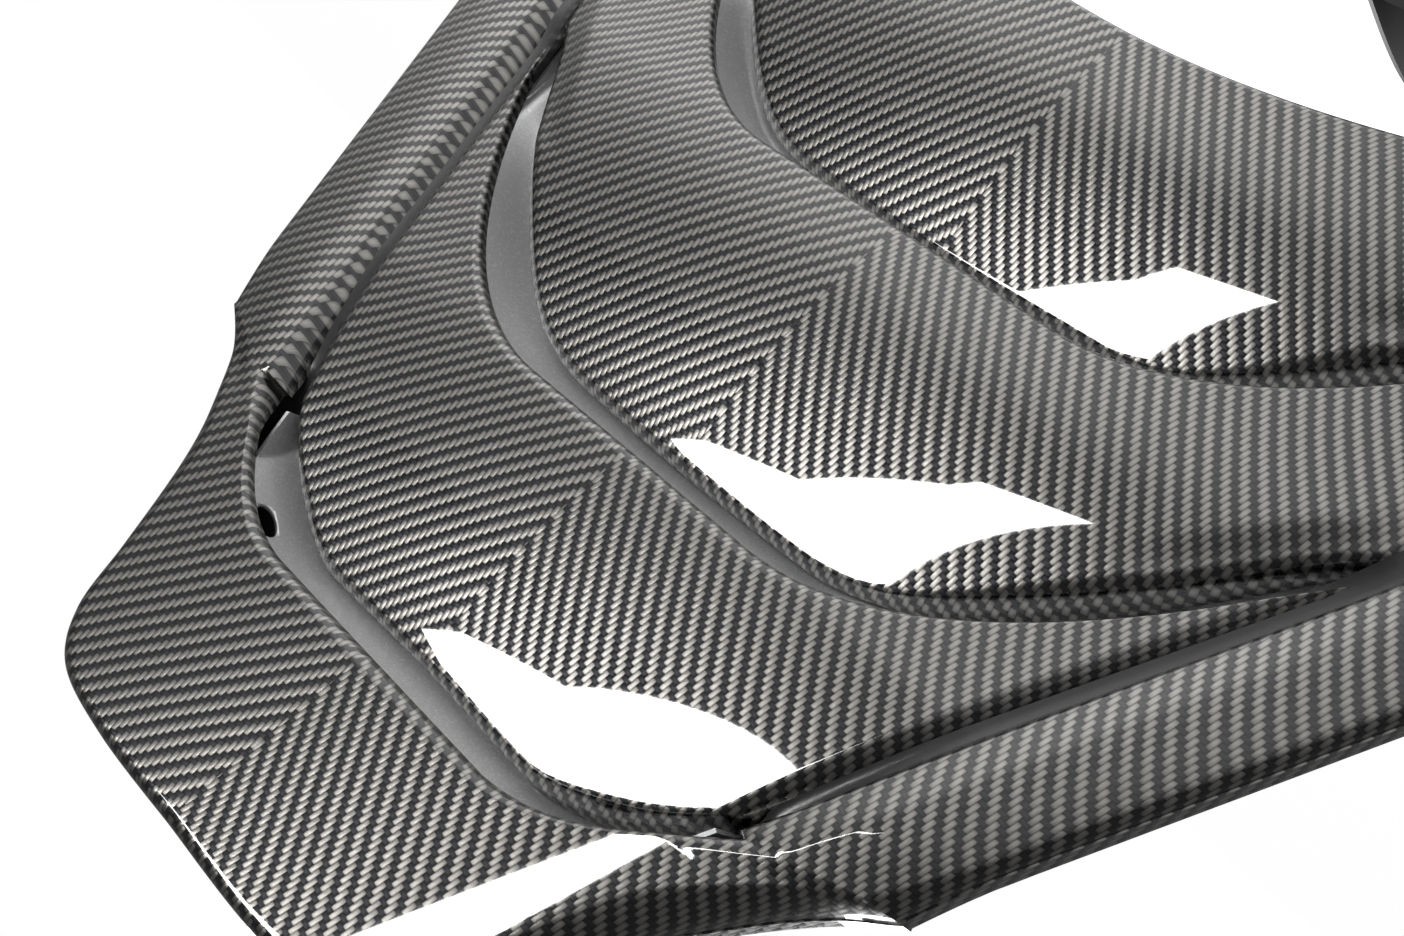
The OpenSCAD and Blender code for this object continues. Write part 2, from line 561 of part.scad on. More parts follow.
// Balls between the feet of the upper rail and the lips of the lower rail, held by a cage.
ball_d = 6.4;
ball_x = 15.9;
ball_z = 11.2;
BALL_Y = [-90, -60, 60, 90];
module rail_balls(side) {
    color([0.8, 0.8, 0.82]) for (s = [-1, 1], y = BALL_Y)
        translate([side * rail_x + s * ball_x, y, ball_z]) sphere(d = ball_d, $fn = 24);
}
module ball_cage(side) {
    color([0.85, 0.82, 0.7]) for (s = [-1, 1]) translate([side * rail_x + s * ball_x, 0, ball_z]) difference() {
        cube([2.4, 210, 4], center = true);
        for (y = BALL_Y) translate([0, y, 0]) sphere(d = ball_d, $fn = 24);
    }
}
module rail_balls_right() rail_balls(1);
module rail_balls_left() rail_balls(-1);
module ball_cage_right() ball_cage(1);
module ball_cage_left() ball_cage(-1);

module rail_end_stops() {
    color([0.1, 0.1, 0.1]) for (x = [-1, 1], y = [-1, 1])
        for (s = [-1, 1]) translate([x * rail_x + s * 18.45, y * (lower_l / 2 - 8), 12])
            cube([2.1, 5, 8], center = true);
}

// ---------- release bar ----------
bar_d = 14;
bar_y = -292;
bar_z = 58;
arm_gap = 18;
arm_x = rail_x - lug_x - arm_gap;
bar_corner = 40;
module bar_arm() {
    slope = atan2(bar_z - pivot_z, pivot_y - bar_y - bar_corner);
    reach = norm([bar_z - pivot_z, pivot_y - bar_y - bar_corner]);
    difference() {
        union() {
            translate([arm_x, pivot_y, pivot_z]) rotate([90 - slope, 0, 0]) cylinder(d = bar_d, h = reach);
            translate([arm_x - 8, pivot_y, pivot_z]) rotate([0, 90, 0]) cylinder(d = 20, h = 16);
        }
        translate([arm_x - 10, pivot_y, pivot_z]) rotate([0, 90, 0]) cylinder(d = pin_d + 0.12, h = 20);
    }
    translate([arm_x - bar_corner, bar_y + bar_corner, bar_z]) rotate([0, 0, 270])
        rotate_extrude(angle = 90) translate([bar_corner, 0]) circle(d = bar_d);
}
module release_bar() {
    color([0.12, 0.12, 0.13]) {
        both_sides() bar_arm();
        translate([0, bar_y, bar_z]) rotate([0, 90, 0])
            cylinder(d = bar_d, h = 2 * (arm_x - bar_corner), center = true);
    }
}
module bar_grip() {
    color([0.05, 0.05, 0.05]) translate([0, bar_y, bar_z]) rotate([0, 90, 0]) difference() {
        cylinder(d = bar_d + 8, h = 150, center = true);
        cylinder(d = bar_d, h = 152, center = true);
    }
}
tooth_lift = 1;
plate_z = 40;
plate_t = 4;
tooth_w = 3.6;
weld_x = 6;
module latch_plate(side) {
    plate_x = rail_x - tooth_x;
    tooth_h = plate_z - rail_h - tooth_lift;
    color([0.75, 0.68, 0.4]) {
        translate([side * (arm_x + weld_x + plate_x + tooth_w / 2) / 2, (tooth_y[0] + tooth_y[2]) / 2, plate_z])
            cube([plate_x - arm_x - weld_x + tooth_w / 2, 32, plate_t], center = true);
        for (y = tooth_y) translate([side * plate_x, y, rail_h + tooth_lift + tooth_h / 2])
            cube([tooth_w, 4, tooth_h], center = true);
    }
}
module latch_plate_right() latch_plate(1);
module latch_plate_left() latch_plate(-1);
module pivot_pins() {
    color([0.7, 0.7, 0.72]) for (side = [-1, 1]) translate([side * (arm_x - 10), pivot_y, pivot_z])
        rotate([0, side * 90, 0]) {
            cylinder(d = pin_d, h = 10 + arm_gap + lug_t / 2 + 2);
            translate([0, 0, -2.5]) cylinder(d = 13, h = 2.3);
        }
}
// Torsion springs on the pins, between the bar's arms and the rails' lugs. Each is one wire:
// a leg along the arm, the coil, and a leg on the lug's side.
spring_wire = 1.8;
spring_r = 6;
spring_turns = 3.5;
turn_steps = 16;
module wire(path, r, sides) {
    last = len(path) - 1;
    ring = [for (i = [0 : last])
        let (t = unit(path[min(i + 1, last)] - path[max(i - 1, 0)]), w = cross(t, [1, 0, 0]))
        [for (j = [0 : sides - 1]) path[i] + r * (cos(j * 360 / sides) * [1, 0, 0] + sin(j * 360 / sides) * w)]];
    polyhedron([for (row = ring) each row], concat(
        [for (i = [0 : last - 1], j = [0 : sides - 1]) let (k = i * sides, l = (j + 1) % sides)
            [k + j, k + sides + j, k + sides + l, k + l]],
        [[for (j = [0 : sides - 1]) j], [for (j = [sides - 1 : -1 : 0]) last * sides + j]]), convexity = 10);
}
module return_springs() {
    pitch = spring_wire + 0.02;
    steps = spring_turns * turn_steps;
    start_x = arm_x + 8.1 + spring_wire / 2;
    coil = [for (i = [0 : steps]) let (a = 90 - i * 360 / turn_steps)
        [start_x + pitch * i / turn_steps, pivot_y + spring_r * cos(a), pivot_z + spring_r * sin(a)]];
    path = concat([coil[0] - [0, 22, 0]], coil, [coil[steps] - [0, 11, 0]]);
    color([0.5, 0.5, 0.52]) both_sides() wire(path, spring_wire / 2, 8);
}

bucket_pan();
bucket_hips();
bucket_back();
bucket_head();
outer_shell();
louvre_blade_upper();
louvre_blade_middle();
louvre_blade_lower();
louvre_liner_upper();
louvre_liner_middle();
louvre_liner_lower();
groove_bond_left();
groove_bond_right();
window_trim();
head_pad();
upper_back_pad();
mid_back_pad();
lumbar_pad();
seat_cushion();
torso_pad_left();
torso_pad_right();
hip_pad_left();
hip_pad_right();
shoulder_belt_bezel_left();
shoulder_belt_bezel_right();
lap_belt_bezel_left();
lap_belt_bezel_right();
crotch_belt_bezel();
shell_inserts();
side_bracket_left();
side_bracket_right();
shell_bolts();
shell_washers();
bracket_bolts();
upper_rail_left();
upper_rail_right();
lower_rail_left();
lower_rail_right();
ball_cage_left();
ball_cage_right();
rail_balls_left();
rail_balls_right();
release_bar();
bar_grip();
latch_plate_left();
latch_plate_right();
pivot_pins();
return_springs();
rail_end_stops();
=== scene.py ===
"""Carbon bucket seat with a louvred back. Lengths in the shapes are millimetres, in the seat's
own frame: it faces -Y, +Z is up, and the origin is the centre of its floor bolts."""
import math

import bpy
import numpy as np
from mathutils import Matrix, Vector, kdtree


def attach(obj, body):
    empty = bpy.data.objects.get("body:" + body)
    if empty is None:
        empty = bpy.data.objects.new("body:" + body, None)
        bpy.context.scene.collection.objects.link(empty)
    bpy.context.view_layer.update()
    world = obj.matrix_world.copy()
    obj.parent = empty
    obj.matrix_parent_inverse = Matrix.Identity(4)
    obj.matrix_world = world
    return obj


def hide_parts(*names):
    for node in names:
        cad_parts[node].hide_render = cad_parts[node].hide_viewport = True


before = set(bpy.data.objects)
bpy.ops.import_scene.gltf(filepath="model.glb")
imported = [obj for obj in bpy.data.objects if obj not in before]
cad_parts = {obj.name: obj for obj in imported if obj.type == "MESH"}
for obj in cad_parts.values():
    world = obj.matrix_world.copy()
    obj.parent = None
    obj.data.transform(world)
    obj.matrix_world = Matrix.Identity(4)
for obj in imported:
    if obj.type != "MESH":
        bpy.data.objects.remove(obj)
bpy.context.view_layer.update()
scene = bpy.context.scene
MM = 0.001

# ---------------------------------------------------------------------------------------------
# Inner bucket: one carbon moulding with a satin resin face, laid up over a male tool and
# trimmed by hand. Its section grows from a flat middle into round bolsters, station by station
# along the line from the thighs over the hips to the head.
BUCKET_T = 4
# [y, z, half width of the flat part, half width at the rim, height of the rim above the flat part]
STATIONS = np.array([
    [-318, 112, 150, 206, 5], [-304, 145, 150, 214, 20], [-262, 156, 148, 226, 48],
    [-160, 134, 142, 234, 80], [-50, 110, 138, 236, 98], [50, 94, 134, 236, 112],
    [118, 104, 130, 236, 112], [160, 150, 126, 238, 118], [184, 216, 122, 238, 138],
    [204, 290, 120, 238, 148], [236, 405, 120, 252, 150], [253, 465, 124, 268, 150],
    [269, 522, 130, 278, 142], [285, 579, 136, 279, 95], [297, 620, 140, 271, 5],
    [308, 660, 142, 257, -46], [319, 700, 140, 238, -56], [336, 760, 132, 211, -56],
    [353, 820, 108, 182, -56], [370, 882, 88, 126, -57], [382, 925, 78, 101, -52],
    [397, 941, 70, 88, -14], [432, 945, 66, 82, -4]], float)
LAST_U = len(STATIONS) - 1
FLAT_SHARE = 0.42
POWER = 2 / 2.4
DISH = 5


def along(rows, u):
    """A smooth curve through the rows, at place u counted in rows."""
    rows = np.asarray(rows, float)
    last = len(rows) - 1
    i = np.clip(np.floor(u).astype(int), 0, last - 1)
    t = (u - i)[..., None]
    a, b, c, d = (rows[np.clip(i + k, 0, last)] for k in (-1, 0, 1, 2))
    return 0.5 * (2 * b + (c - a) * t + (2 * a - 5 * b + 4 * c - d) * t ** 2
                  + (3 * b - a - 3 * c + d) * t ** 3)


def unit(a):
    return a / np.maximum(np.linalg.norm(a, axis=-1, keepdims=True), 1e-9)


def smooth(t):
    c = np.clip(t, 0, 1)
    return c * c * (3 - 2 * c)


def lerp(a, b, t):
    return a + (b - a) * t


def bucket_point(u, s):
    """The bucket's inner face: u runs along its middle line, s across it from -1 to 1."""
    u, s = np.broadcast_arrays(np.asarray(u, float), np.asarray(s, float))
    row = along(STATIONS, u)
    reach = 0.9
    ahead = unit((along(STATIONS, np.minimum(LAST_U, u + reach))
                  - along(STATIONS, np.maximum(0, u - reach)))[..., :2])
    a = np.abs(s)
    turn = np.clip((a - FLAT_SHARE) / (1 - FLAT_SHARE), 0, 1) * math.pi / 2
    rise = np.maximum(0, np.cos(turn)) ** POWER
    x = np.where(a < FLAT_SHARE, a / FLAT_SHARE * row[..., 2],
                 row[..., 2] + (row[..., 3] - row[..., 2]) * np.maximum(0, np.sin(turn)) ** POWER)
    out = DISH * np.minimum(1, a / FLAT_SHARE) ** 2 + row[..., 4] * (1 - rise)
    return np.stack([np.copysign(x, s), row[..., 0] - ahead[..., 1] * out,
                     row[..., 1] + ahead[..., 0] * out], -1)


def grid_normals(points):
    du = np.gradient(points, axis=0)
    dv = np.gradient(points, axis=1)
    return unit(np.cross(du, dv))


def bucket_out(u, s, step=0.02):
    """Direction out of the bucket's inner face, towards the sitter."""
    return unit(np.cross(bucket_point(u, s + step) - bucket_point(u, s - step),
                         bucket_point(u + step, s) - bucket_point(u - step, s)))


def put_cloth(mesh, cloth):
    """Keeps the fabric coordinates of each point, for the weave to read."""
    store = mesh.attributes.new("cloth", "FLOAT_VECTOR", "POINT")
    store.data.foreach_set("vector", np.asarray(cloth, np.float32).reshape(-1, 3).ravel())


def mesh_object(name, points, faces, cloth=None, crease=40):
    """A mesh piece from points in millimetres."""
    mesh = bpy.data.meshes.new(name)
    mesh.from_pydata((np.asarray(points).reshape(-1, 3) * MM).tolist(), [], [tuple(f) for f in faces])
    if cloth is not None:
        put_cloth(mesh, cloth)
    mesh.shade_smooth()
    mesh.set_sharp_from_angle(angle=math.radians(crease))
    piece = bpy.data.objects.new(name, mesh)
    scene.collection.objects.link(piece)
    return piece


def grid_faces(rows, cols, start=0, flip=False):
    i, j = np.meshgrid(np.arange(rows - 1), np.arange(cols - 1), indexing="ij")
    k = (start + i * cols + j).ravel()
    quads = np.stack([k, k + cols, k + cols + 1, k + 1], -1)
    return quads[:, ::-1] if flip else quads


def closed_sheet(name, face, back, cloth=None, crease=40):
    """A closed form between two grids: face is its outer side, and back its hidden one."""
    rows, cols = face.shape[:2]
    n = rows * cols
    ring = np.concatenate([np.arange(cols), np.arange(1, rows) * cols + cols - 1,
                           (rows - 1) * cols + np.arange(cols - 2, -1, -1),
                           np.arange(rows - 2, 0, -1) * cols])
    after = np.roll(ring, -1)
    faces = np.concatenate([grid_faces(rows, cols), grid_faces(rows, cols, n, flip=True),
                            np.stack([ring, after, after + n, ring + n], -1)])
    points = np.concatenate([face.reshape(-1, 3), back.reshape(-1, 3)])
    return mesh_object(name, points, faces, cloth, crease)


def slab(name, face, thick, cloth, crease=40):
    """A sheet of even thickness. Both sides take the same fabric coordinates."""
    back = face - thick * grid_normals(face)
    return closed_sheet(name, face, back, np.concatenate([cloth.reshape(-1, 3)] * 2), crease)


def modify(piece, kind, **settings):
    """Adds a modifier and applies it."""
    modifier = piece.modifiers.new(kind.lower(), kind)
    for name, value in settings.items():
        setattr(modifier, name, value)
    bpy.context.view_layer.objects.active = piece
    bpy.context.view_layer.update()
    with bpy.context.temp_override(object=piece, active_object=piece, selected_objects=[piece]):
        bpy.ops.object.modifier_apply(modifier=modifier.name)
    return piece


BIAS = math.radians(-6.7)


def cloth_of(points, across, down):
    """Fabric coordinates in millimetres on a grid whose rows run across the seat and whose
    columns run down it. across and down are the plan coordinates. The cloth is book-matched at
    the middle: its tows run outwards and slightly up on both sides. Steep parts take more cloth."""
    def extra(axis, plan):
        steps = np.diff(points, axis=axis)
        flat = np.diff(plan, axis=axis)
        spare = np.linalg.norm(steps, axis=-1) - np.linalg.norm(flat, axis=-1)
        total = np.cumsum(np.insert(spare, 0, 0, axis=axis), axis=axis)
        middle = total.shape[axis] // 2
        return total - np.take(total, [middle], axis=axis)

    plan = np.stack([across, down], -1)
    x = np.abs(across) + np.abs(extra(0, plan))
    v = down + extra(1, plan)
    s = x * math.cos(BIAS) + v * math.sin(BIAS)
    t = v * math.cos(BIAS) - x * math.sin(BIAS)
    return np.stack([s, t, np.zeros_like(s)], -1)


class Value:
    """A socket in a material. Arithmetic on it adds Math nodes."""

    def __init__(self, tree, socket=None):
        self.tree, self.socket = tree, socket

    def node(self, kind, settings=None, inputs=None, output=0):
        made = self.tree.nodes.new(kind)
        for name, setting in (settings or {}).items():
            if name == "stops":
                for place, colour in setting:
                    stop = made.color_ramp.elements.new(place)
                    stop.color = colour
                made.color_ramp.elements.remove(made.color_ramp.elements[0])
                made.color_ramp.elements.remove(made.color_ramp.elements[-1])
            else:
                setattr(made, name, setting)
        for name, given in (inputs or {}).items():
            if isinstance(given, Value):
                self.tree.links.new(given.socket, made.inputs[name])
            else:
                made.inputs[name].default_value = given
        return Value(self.tree, made.outputs[output] if made.outputs else None)

    def maths(self, operation, first, *others):
        return self.node("ShaderNodeMath", {"operation": operation}, dict(enumerate((first, *others))))

    def output(self, name):
        return Value(self.tree, self.socket.node.outputs[name])

    def __add__(self, other):
        return self.maths("ADD", self, other)

    def __sub__(self, other):
        return self.maths("SUBTRACT", self, other)

    def __rsub__(self, other):
        return self.maths("SUBTRACT", other, self)

    def __mul__(self, other):
        return self.maths("MULTIPLY", self, other)

    def __truediv__(self, other):
        return self.maths("DIVIDE", self, other)

    def __mod__(self, other):
        return self.maths("FLOORED_MODULO", self, other)

    def __pow__(self, other):
        return self.maths("POWER", self, other)

    def __lt__(self, other):
        return self.maths("LESS_THAN", self, other)

    __radd__ = __add__
    __rmul__ = __mul__

    def floor(self):
        return self.maths("FLOOR", self)

    def bulge(self):
        """0 at whole numbers and 1 half-way between them, round on top."""
        return self.maths("SINE", (self - self.floor()) * math.pi)

    def blend(self, first, second):
        """Mixes two colours by this value."""
        return self.node("ShaderNodeMix", {"data_type": "RGBA"}, {"Factor": self, 6: first, 7: second}, 2)


def bench(name):
    """An empty material, to build nodes in."""
    material = bpy.data.materials.new(name)
    material.use_nodes = True
    material.node_tree.nodes.clear()
    return Value(material.node_tree), material


def close(tool, **skin):
    """Ends a material with its surface shader, and gives the shader's sockets."""
    sockets = {name.replace("_", " "): value for name, value in skin.items()}
    shader = tool.node("ShaderNodeBsdfPrincipled", {}, sockets)
    tool.node("ShaderNodeOutputMaterial", {}, {"Surface": shader})


TOW = 2
OVERLAP = 0.15
NEXT_TOW = 7.31  # step through the noise from one tow to the next, so that no two are alike


def twill_carbon(name, light, dark, depth, **skin):
    """2x2 twill: each tow passes over two and under two, one step later on every next tow.
    The tows that run down the seat take a light colour, a painted highlight, and the ones across it stay near
    black."""
    tool, material = bench(name)
    cloth = tool.node("ShaderNodeAttribute", {"attribute_name": "cloth"}, output="Vector")
    place = tool.node("ShaderNodeSeparateXYZ", {}, {"Vector": cloth})
    a, b = place / TOW, place.output("Y") / TOW
    warp, weft = a.floor(), b.floor()
    warp_float = ((warp + b + OVERLAP) % 4) / (2 + 2 * OVERLAP)
    weft_float = ((a + weft) % 4) * 0.5
    warp_up = warp_float < 1
    # Painted shade: each float's colour darkens towards its edges and ends.
    warp_edge_shade = (warp_float.bulge() ** 0.3) * (a.bulge() ** 0.3)
    weft_edge_shade = (weft_float.bulge() ** 0.4) * (b.bulge() ** 0.4)
    warp_round = warp_float.bulge() * (0.6 + 0.4 * a.bulge())
    weft_round = weft_float.bulge() * (0.6 + 0.4 * b.bulge())
    height = weft_round + (warp_round - weft_round) * warp_up

    def streaks(along_scale, across_scale, tow):
        stretched = tool.node("ShaderNodeCombineXYZ", {}, {
            "X": place * across_scale, "Y": place.output("Y") * along_scale, "Z": tow * NEXT_TOW})
        return tool.node("ShaderNodeTexNoise", {"noise_dimensions": "3D"},
                         {"Vector": stretched, "Scale": 1.0, "Detail": 2.0, "Roughness": 0.6})

    warp_grain = streaks(0.25, 5.0, warp)
    weft_grain = streaks(5.0, 0.25, weft)
    # Each tow's tone is its streaked fibre grain times the painted shade at its float edges.
    warp_grain_and_shade = (0.45 + warp_grain * 0.8) * (1.25 * warp_edge_shade - 0.2)
    weft_grain_and_shade = (0.4 + weft_grain * 1.0) * weft_edge_shade
    # The light colour on the tows down the seat is a painted highlight.
    warp_highlight_colour = warp_grain_and_shade.blend((0, 0, 0, 1), (*light, 1))
    weft_colour = weft_grain_and_shade.blend((0, 0, 0, 1), (*dark, 1))
    colour = warp_up.blend(weft_colour, warp_highlight_colour)
    relief = tool.node("ShaderNodeBump", {}, {"Height": height, "Distance": depth, "Strength": 1.0})
    close(tool, Base_Color=colour, Normal=relief, **skin)
    return material


# ---------------------------------------------------------------------------------------------
# Curves of the back. Its lips are arches that fall away to the two grooves, and everything is
# placed by v, down the back from a line at the upper louvre, and h, out of the back rearwards.
BACK_Z, BACK_Y = 760, 383.6
LEAN, LEAN_H = 0.28, 22
SKIN_T = 2.4
# [v in the middle, half width of the flat part, fall per squared millimetre, x of the ends]
LIP_TOP = (-110, 60, 0.00683, 137)
LIP_MID = (-2, 60, 0.0049, 219)
LIP_LOW = (122, 75, 0.0054, 239)
EDGE_FAR = (238, 0, 0.00132, 235)


def arch(lip, x):
    """v of a lip at x."""
    return lip[0] + lip[2] * np.maximum(0, np.abs(x) - lip[1]) ** 2


def arch_place(lip, a, out=0):
    """Plan point on a lip at share a of its half width, moved out of it square to the lip."""
    x = a * lip[3]
    slope = 2 * lip[2] * np.maximum(0, np.abs(x) - lip[1]) * np.sign(x)
    across = np.sqrt(1 + slope ** 2)
    return x - slope / across * out, arch(lip, x) + out / across


# The groove's line: place at the upper louvre, slope, v where it starts to turn and where it has turned,
# and its bend below that.
GROOVE_X, GROOVE_SLOPE, GROOVE_TURN, GROOVE_TURNED, GROOVE_BEND = 163.5, 0.455, 110, 230, 0.0009


def groove_x(v):
    """Distance of the grooves from the middle."""
    length = GROOVE_TURNED - GROOVE_TURN
    turning = np.clip(v - GROOVE_TURN, 0, length)
    below = np.maximum(0, v - GROOVE_TURNED)
    return (GROOVE_X + GROOVE_SLOPE * (v - turning ** 2 / length / 2 - below)
            - GROOVE_BEND * below ** 2)


def mean_h(v):
    """Height of the back's mean surface, which leans."""
    return LEAN_H - LEAN * v


# Crown of each panel along the back: [v, height, slope, bend] at one place, and v of its lip's
# middle.
UPPER_SWELL = (-50, 30.5, -0.077, -0.0017, -2)
MIDDLE_SWELL = (60, 0, 0, -0.0021, 122)
LOWER_SWELL = (170, -31.2, 0.095, -0.0020, 238)
CROWN = 0.00021
SETTLE = 70
SIDE_RISE = 2.5
HEAD_RISE = 3
HEAD_TURN, HEAD_TURN_V = 0.04, -84


def panel_h(swell, x, v):
    """Height of a blade's surface. Below its lip's middle, its sides settle on the mean surface."""
    v0, height, slope, bend, lip_v = swell

    def swollen(v):
        return height + slope * (v - v0) + bend * (v - v0) ** 2

    tail = np.maximum(0, v - lip_v)
    h = np.where(v < lip_v, swollen(np.minimum(v, lip_v)),
                 mean_h(v) + (swollen(lip_v) - mean_h(lip_v)) * np.exp(-tail / SETTLE))
    return h - CROWN * x * x + SIDE_RISE * np.minimum(1, np.abs(x) / groove_x(v)) ** 4


def head_h(x, v):
    return mean_h(v) + HEAD_RISE + HEAD_TURN * np.minimum(0, v - HEAD_TURN_V) - CROWN * x * x


def back_point(x, v, h):
    return np.stack(np.broadcast_arrays(x, BACK_Y + h, BACK_Z - v), -1)


def roll(e, r):
    """Drop of a surface at distance e from its rounded edge of radius r."""
    return r - np.sqrt(np.maximum(0, r * r - np.maximum(0, r - e) ** 2))


# The first colour is the painted highlight on the tows down the seat, the second the near black of the tows
# across it.
clear_carbon = twill_carbon("clear_coated_twill", (0.31, 0.3, 0.284), (0.028, 0.029, 0.033), 0.00014,
                            Metallic=1.0, Roughness=0.38, Specular_IOR_Level=0.3, Coat_Weight=1.0,
                            Coat_Roughness=0.02, Coat_IOR=1.55)

# ---------------------------------------------------------------------------------------------
# Outer shell: the head section and the two shoulder flanges, one clear-coated carbon moulding.
# It rolls into the grooves beside the louvres, and below the shoulders it wraps forward round
# the bucket's bolsters, where the two mouldings are bonded.
HEAD_EDGE = [[0, -191], [50, -191], [87, -186.5], [106, -172], [117, -148], [134, -118],
             [152, -92], [172, -69], [191, -56]]
HEAD_SHARE = 0.36
CORNER_V, FOLD_V, END_V = -56, 300, 425
FLANGE_W = 52
GROOVE_D, GROOVE_REACH = 7, 9
TOP_R, SIDE_R, FLANGE_R, LIP_IN_R = 7, 16, 5, 5
SKIRT_DROP = 7
WRAP_V, WRAPPED_V = 118, 215
WRAP_GAP, WRAP_SWELL = 7.5, 10
BOND_T = 1.4
groove_start = arch(LIP_TOP, LIP_TOP[3])


def groove_h(v):
    """Height of the blades' ends along the groove."""
    x = groove_x(v)
    upper, middle, lower = (panel_h(swell, x, v)
                            for swell in (UPPER_SWELL, MIDDLE_SWELL, LOWER_SWELL))
    return lerp(lerp(upper, middle, smooth((v - 100) / 30)), lower, smooth((v - 180) / 30))


def valley(g):
    """Drop of the surface at distance g from the groove's line."""
    return GROOVE_D * np.maximum(0, 1 - g / GROOVE_REACH) ** 1.8


def shell_point(p, q):
    """p runs round the outline from -1 to 1. q crosses the flange from 0 to 1, then goes down
    the side to 2."""
    a = np.abs(p)
    on_head = np.minimum(1, a / HEAD_SHARE)
    down = np.clip((a - HEAD_SHARE) / (1 - HEAD_SHARE), 0, 1)
    head_out = along(HEAD_EDGE, on_head * (len(HEAD_EDGE) - 1))
    head_x = on_head * LIP_TOP[3]
    out_v = lerp(CORNER_V, END_V, down)
    in_v = lerp(groove_start, END_V, down)
    head = a <= HEAD_SHARE
    ox = np.where(head, head_out[..., 0], groove_x(out_v) + FLANGE_W)
    ov = np.where(head, head_out[..., 1], out_v)
    ix = np.where(head, head_x, groove_x(in_v) + 1.5)
    iv = np.where(head, arch(LIP_TOP, head_x), in_v)
    s = np.minimum(1, q)
    x, v = lerp(ix, ox, s), lerp(iv, ov, s)
    w = np.hypot(ox - ix, ov - iv)
    e_out, e_in = (1 - s) * w, s * w
    f = smooth((a - HEAD_SHARE + 0.05) / 0.09)
    r_out = lerp(TOP_R, SIDE_R, smooth((a / HEAD_SHARE - 0.45) / 0.3)) * (1 - f) + FLANGE_R * f
    head = head_h(x, v) - roll(e_in, LIP_IN_R)
    flange = mean_h(v) + 1 - 3 * (1 - smooth(e_in / 24)) - 3 * np.maximum(0, s / 0.5 - 1) ** 2
    flange = flange - valley(e_in) * (mean_h(v) - 2 - groove_h(v) + GROOVE_D) / GROOVE_D
    h = lerp(head, flange, f) - roll(e_out, r_out)
    top = back_point(x, v, h)
    skirt = np.maximum(0, q - 1)[..., None]
    lip = top + np.concatenate([0.6 * np.sign(skirt), -SKIRT_DROP * skirt, skirt * 0], -1)
    rim_list = np.linspace(9, 16, 29)
    rim_z = bucket_point(rim_list, np.ones_like(rim_list))[:, 2]
    rim_u = np.interp(BACK_Z - np.maximum(v, WRAP_V), rim_z, rim_list)
    rim = bucket_point(rim_u, np.ones_like(rim_u))
    rim[..., 0] += WRAP_GAP
    wall = lerp(top, rim, skirt)
    wall[..., 0] += WRAP_SWELL * np.sin(math.pi * skirt[..., 0])
    wall[..., 2] = top[..., 2]
    k = smooth((v - WRAP_V) / (WRAPPED_V - WRAP_V))[..., None]
    body = np.where(skirt > 0, lerp(lip, wall, k), top)
    fold = smooth((v - FOLD_V) / (END_V - FOLD_V))[..., None]
    land_u = np.interp(BACK_Z - v, rim_z, rim_list) - 0.1
    land_s = lerp(FLAT_SHARE, 0.97, (s + skirt[..., 0]) / 2)
    land = bucket_point(land_u, land_s) - (BUCKET_T + BOND_T + SKIN_T) * bucket_out(land_u, land_s)
    point = lerp(body, land, fold)
    point[..., 0] = np.copysign(point[..., 0], p)
    return point


def outer_shell():
    p = np.linspace(1, -1, 721)
    q = np.concatenate([np.linspace(0, 0.12, 15), np.linspace(0.14, 0.8, 28),
                        np.linspace(0.82, 1, 16), np.linspace(1.03, 2, 22)])
    pp, qq = np.meshgrid(p, q, indexing="ij")
    face = shell_point(pp, qq)
    across, down = face[..., 0], BACK_Z - face[..., 2]
    cloth = cloth_of(face.transpose(1, 0, 2), across.T, down.T).transpose(1, 0, 2)
    return slab("outer_shell_skin", face, SKIN_T, cloth, crease=50)


shell = outer_shell()
shell.data.materials.append(clear_carbon)
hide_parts("outer_shell")
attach(shell, "seat")

# ---------------------------------------------------------------------------------------------
# Louvre blades: three clear-coated carbon pressings. Each starts under the lip above it, swells
# rearwards and ends in its own rolled lip, so air and belts can leave the cavity below the lip.
# [lip above, plan width of the silver wall below it in the middle and further out, lip of the blade,
# surface above, surface, radius of the blade's upper edge further out]
UPPER = (LIP_TOP, (6.5, 5.5), LIP_MID, head_h, lambda x, v: panel_h(UPPER_SWELL, x, v), 12)
MIDDLE = (LIP_MID, (6.5, 8.5), LIP_LOW, UPPER[4], lambda x, v: panel_h(MIDDLE_SWELL, x, v), 16)
LOWER = (LIP_LOW, (5, 8), EDGE_FAR, MIDDLE[4], lambda x, v: panel_h(LOWER_SWELL, x, v), 16)
EDGE_GAP = 0.8
HEM = 2
LIP_R, UNDER_R = 5, 4
TUCK, TUCK_REACH = 3, 40
WALL_CLOSE = 24  # power of the share at which the silver walls close towards the grooves
END_TURN = 14  # power of the share at which the blades' ends turn to the grooves


def wall_width(step, a):
    """Plan width of the silver wall below a lip, at share a of the lip's half width."""
    return lerp(*step[1], smooth(a / 0.45)) * (1 - a ** WALL_CLOSE)


def upper_radius(step, a):
    """Radius of a blade's upper edge."""
    return LIP_R + (step[5] - LIP_R) * smooth((a - 0.4) / 0.3) * (1 - a ** END_TURN)


def blade_plan(step, a, b):
    """Plan point of a blade at share a across it and b from its upper edge to its lip."""
    top_x, top_v = arch_place(step[0], a, wall_width(step, a))
    lip_x, lip_v = arch_place(step[2], a)
    return lerp(top_x, lip_x, b), lerp(top_v, lip_v, b)


def tucked(step, x, v):
    """Height of a blade's upper edge: below the lip above it, and level with it at the groove."""
    beside = smooth(np.maximum(0, groove_x(v) - x) / TUCK_REACH)
    return np.minimum(step[4](x, v), step[3](x, v) - TUCK * beside)


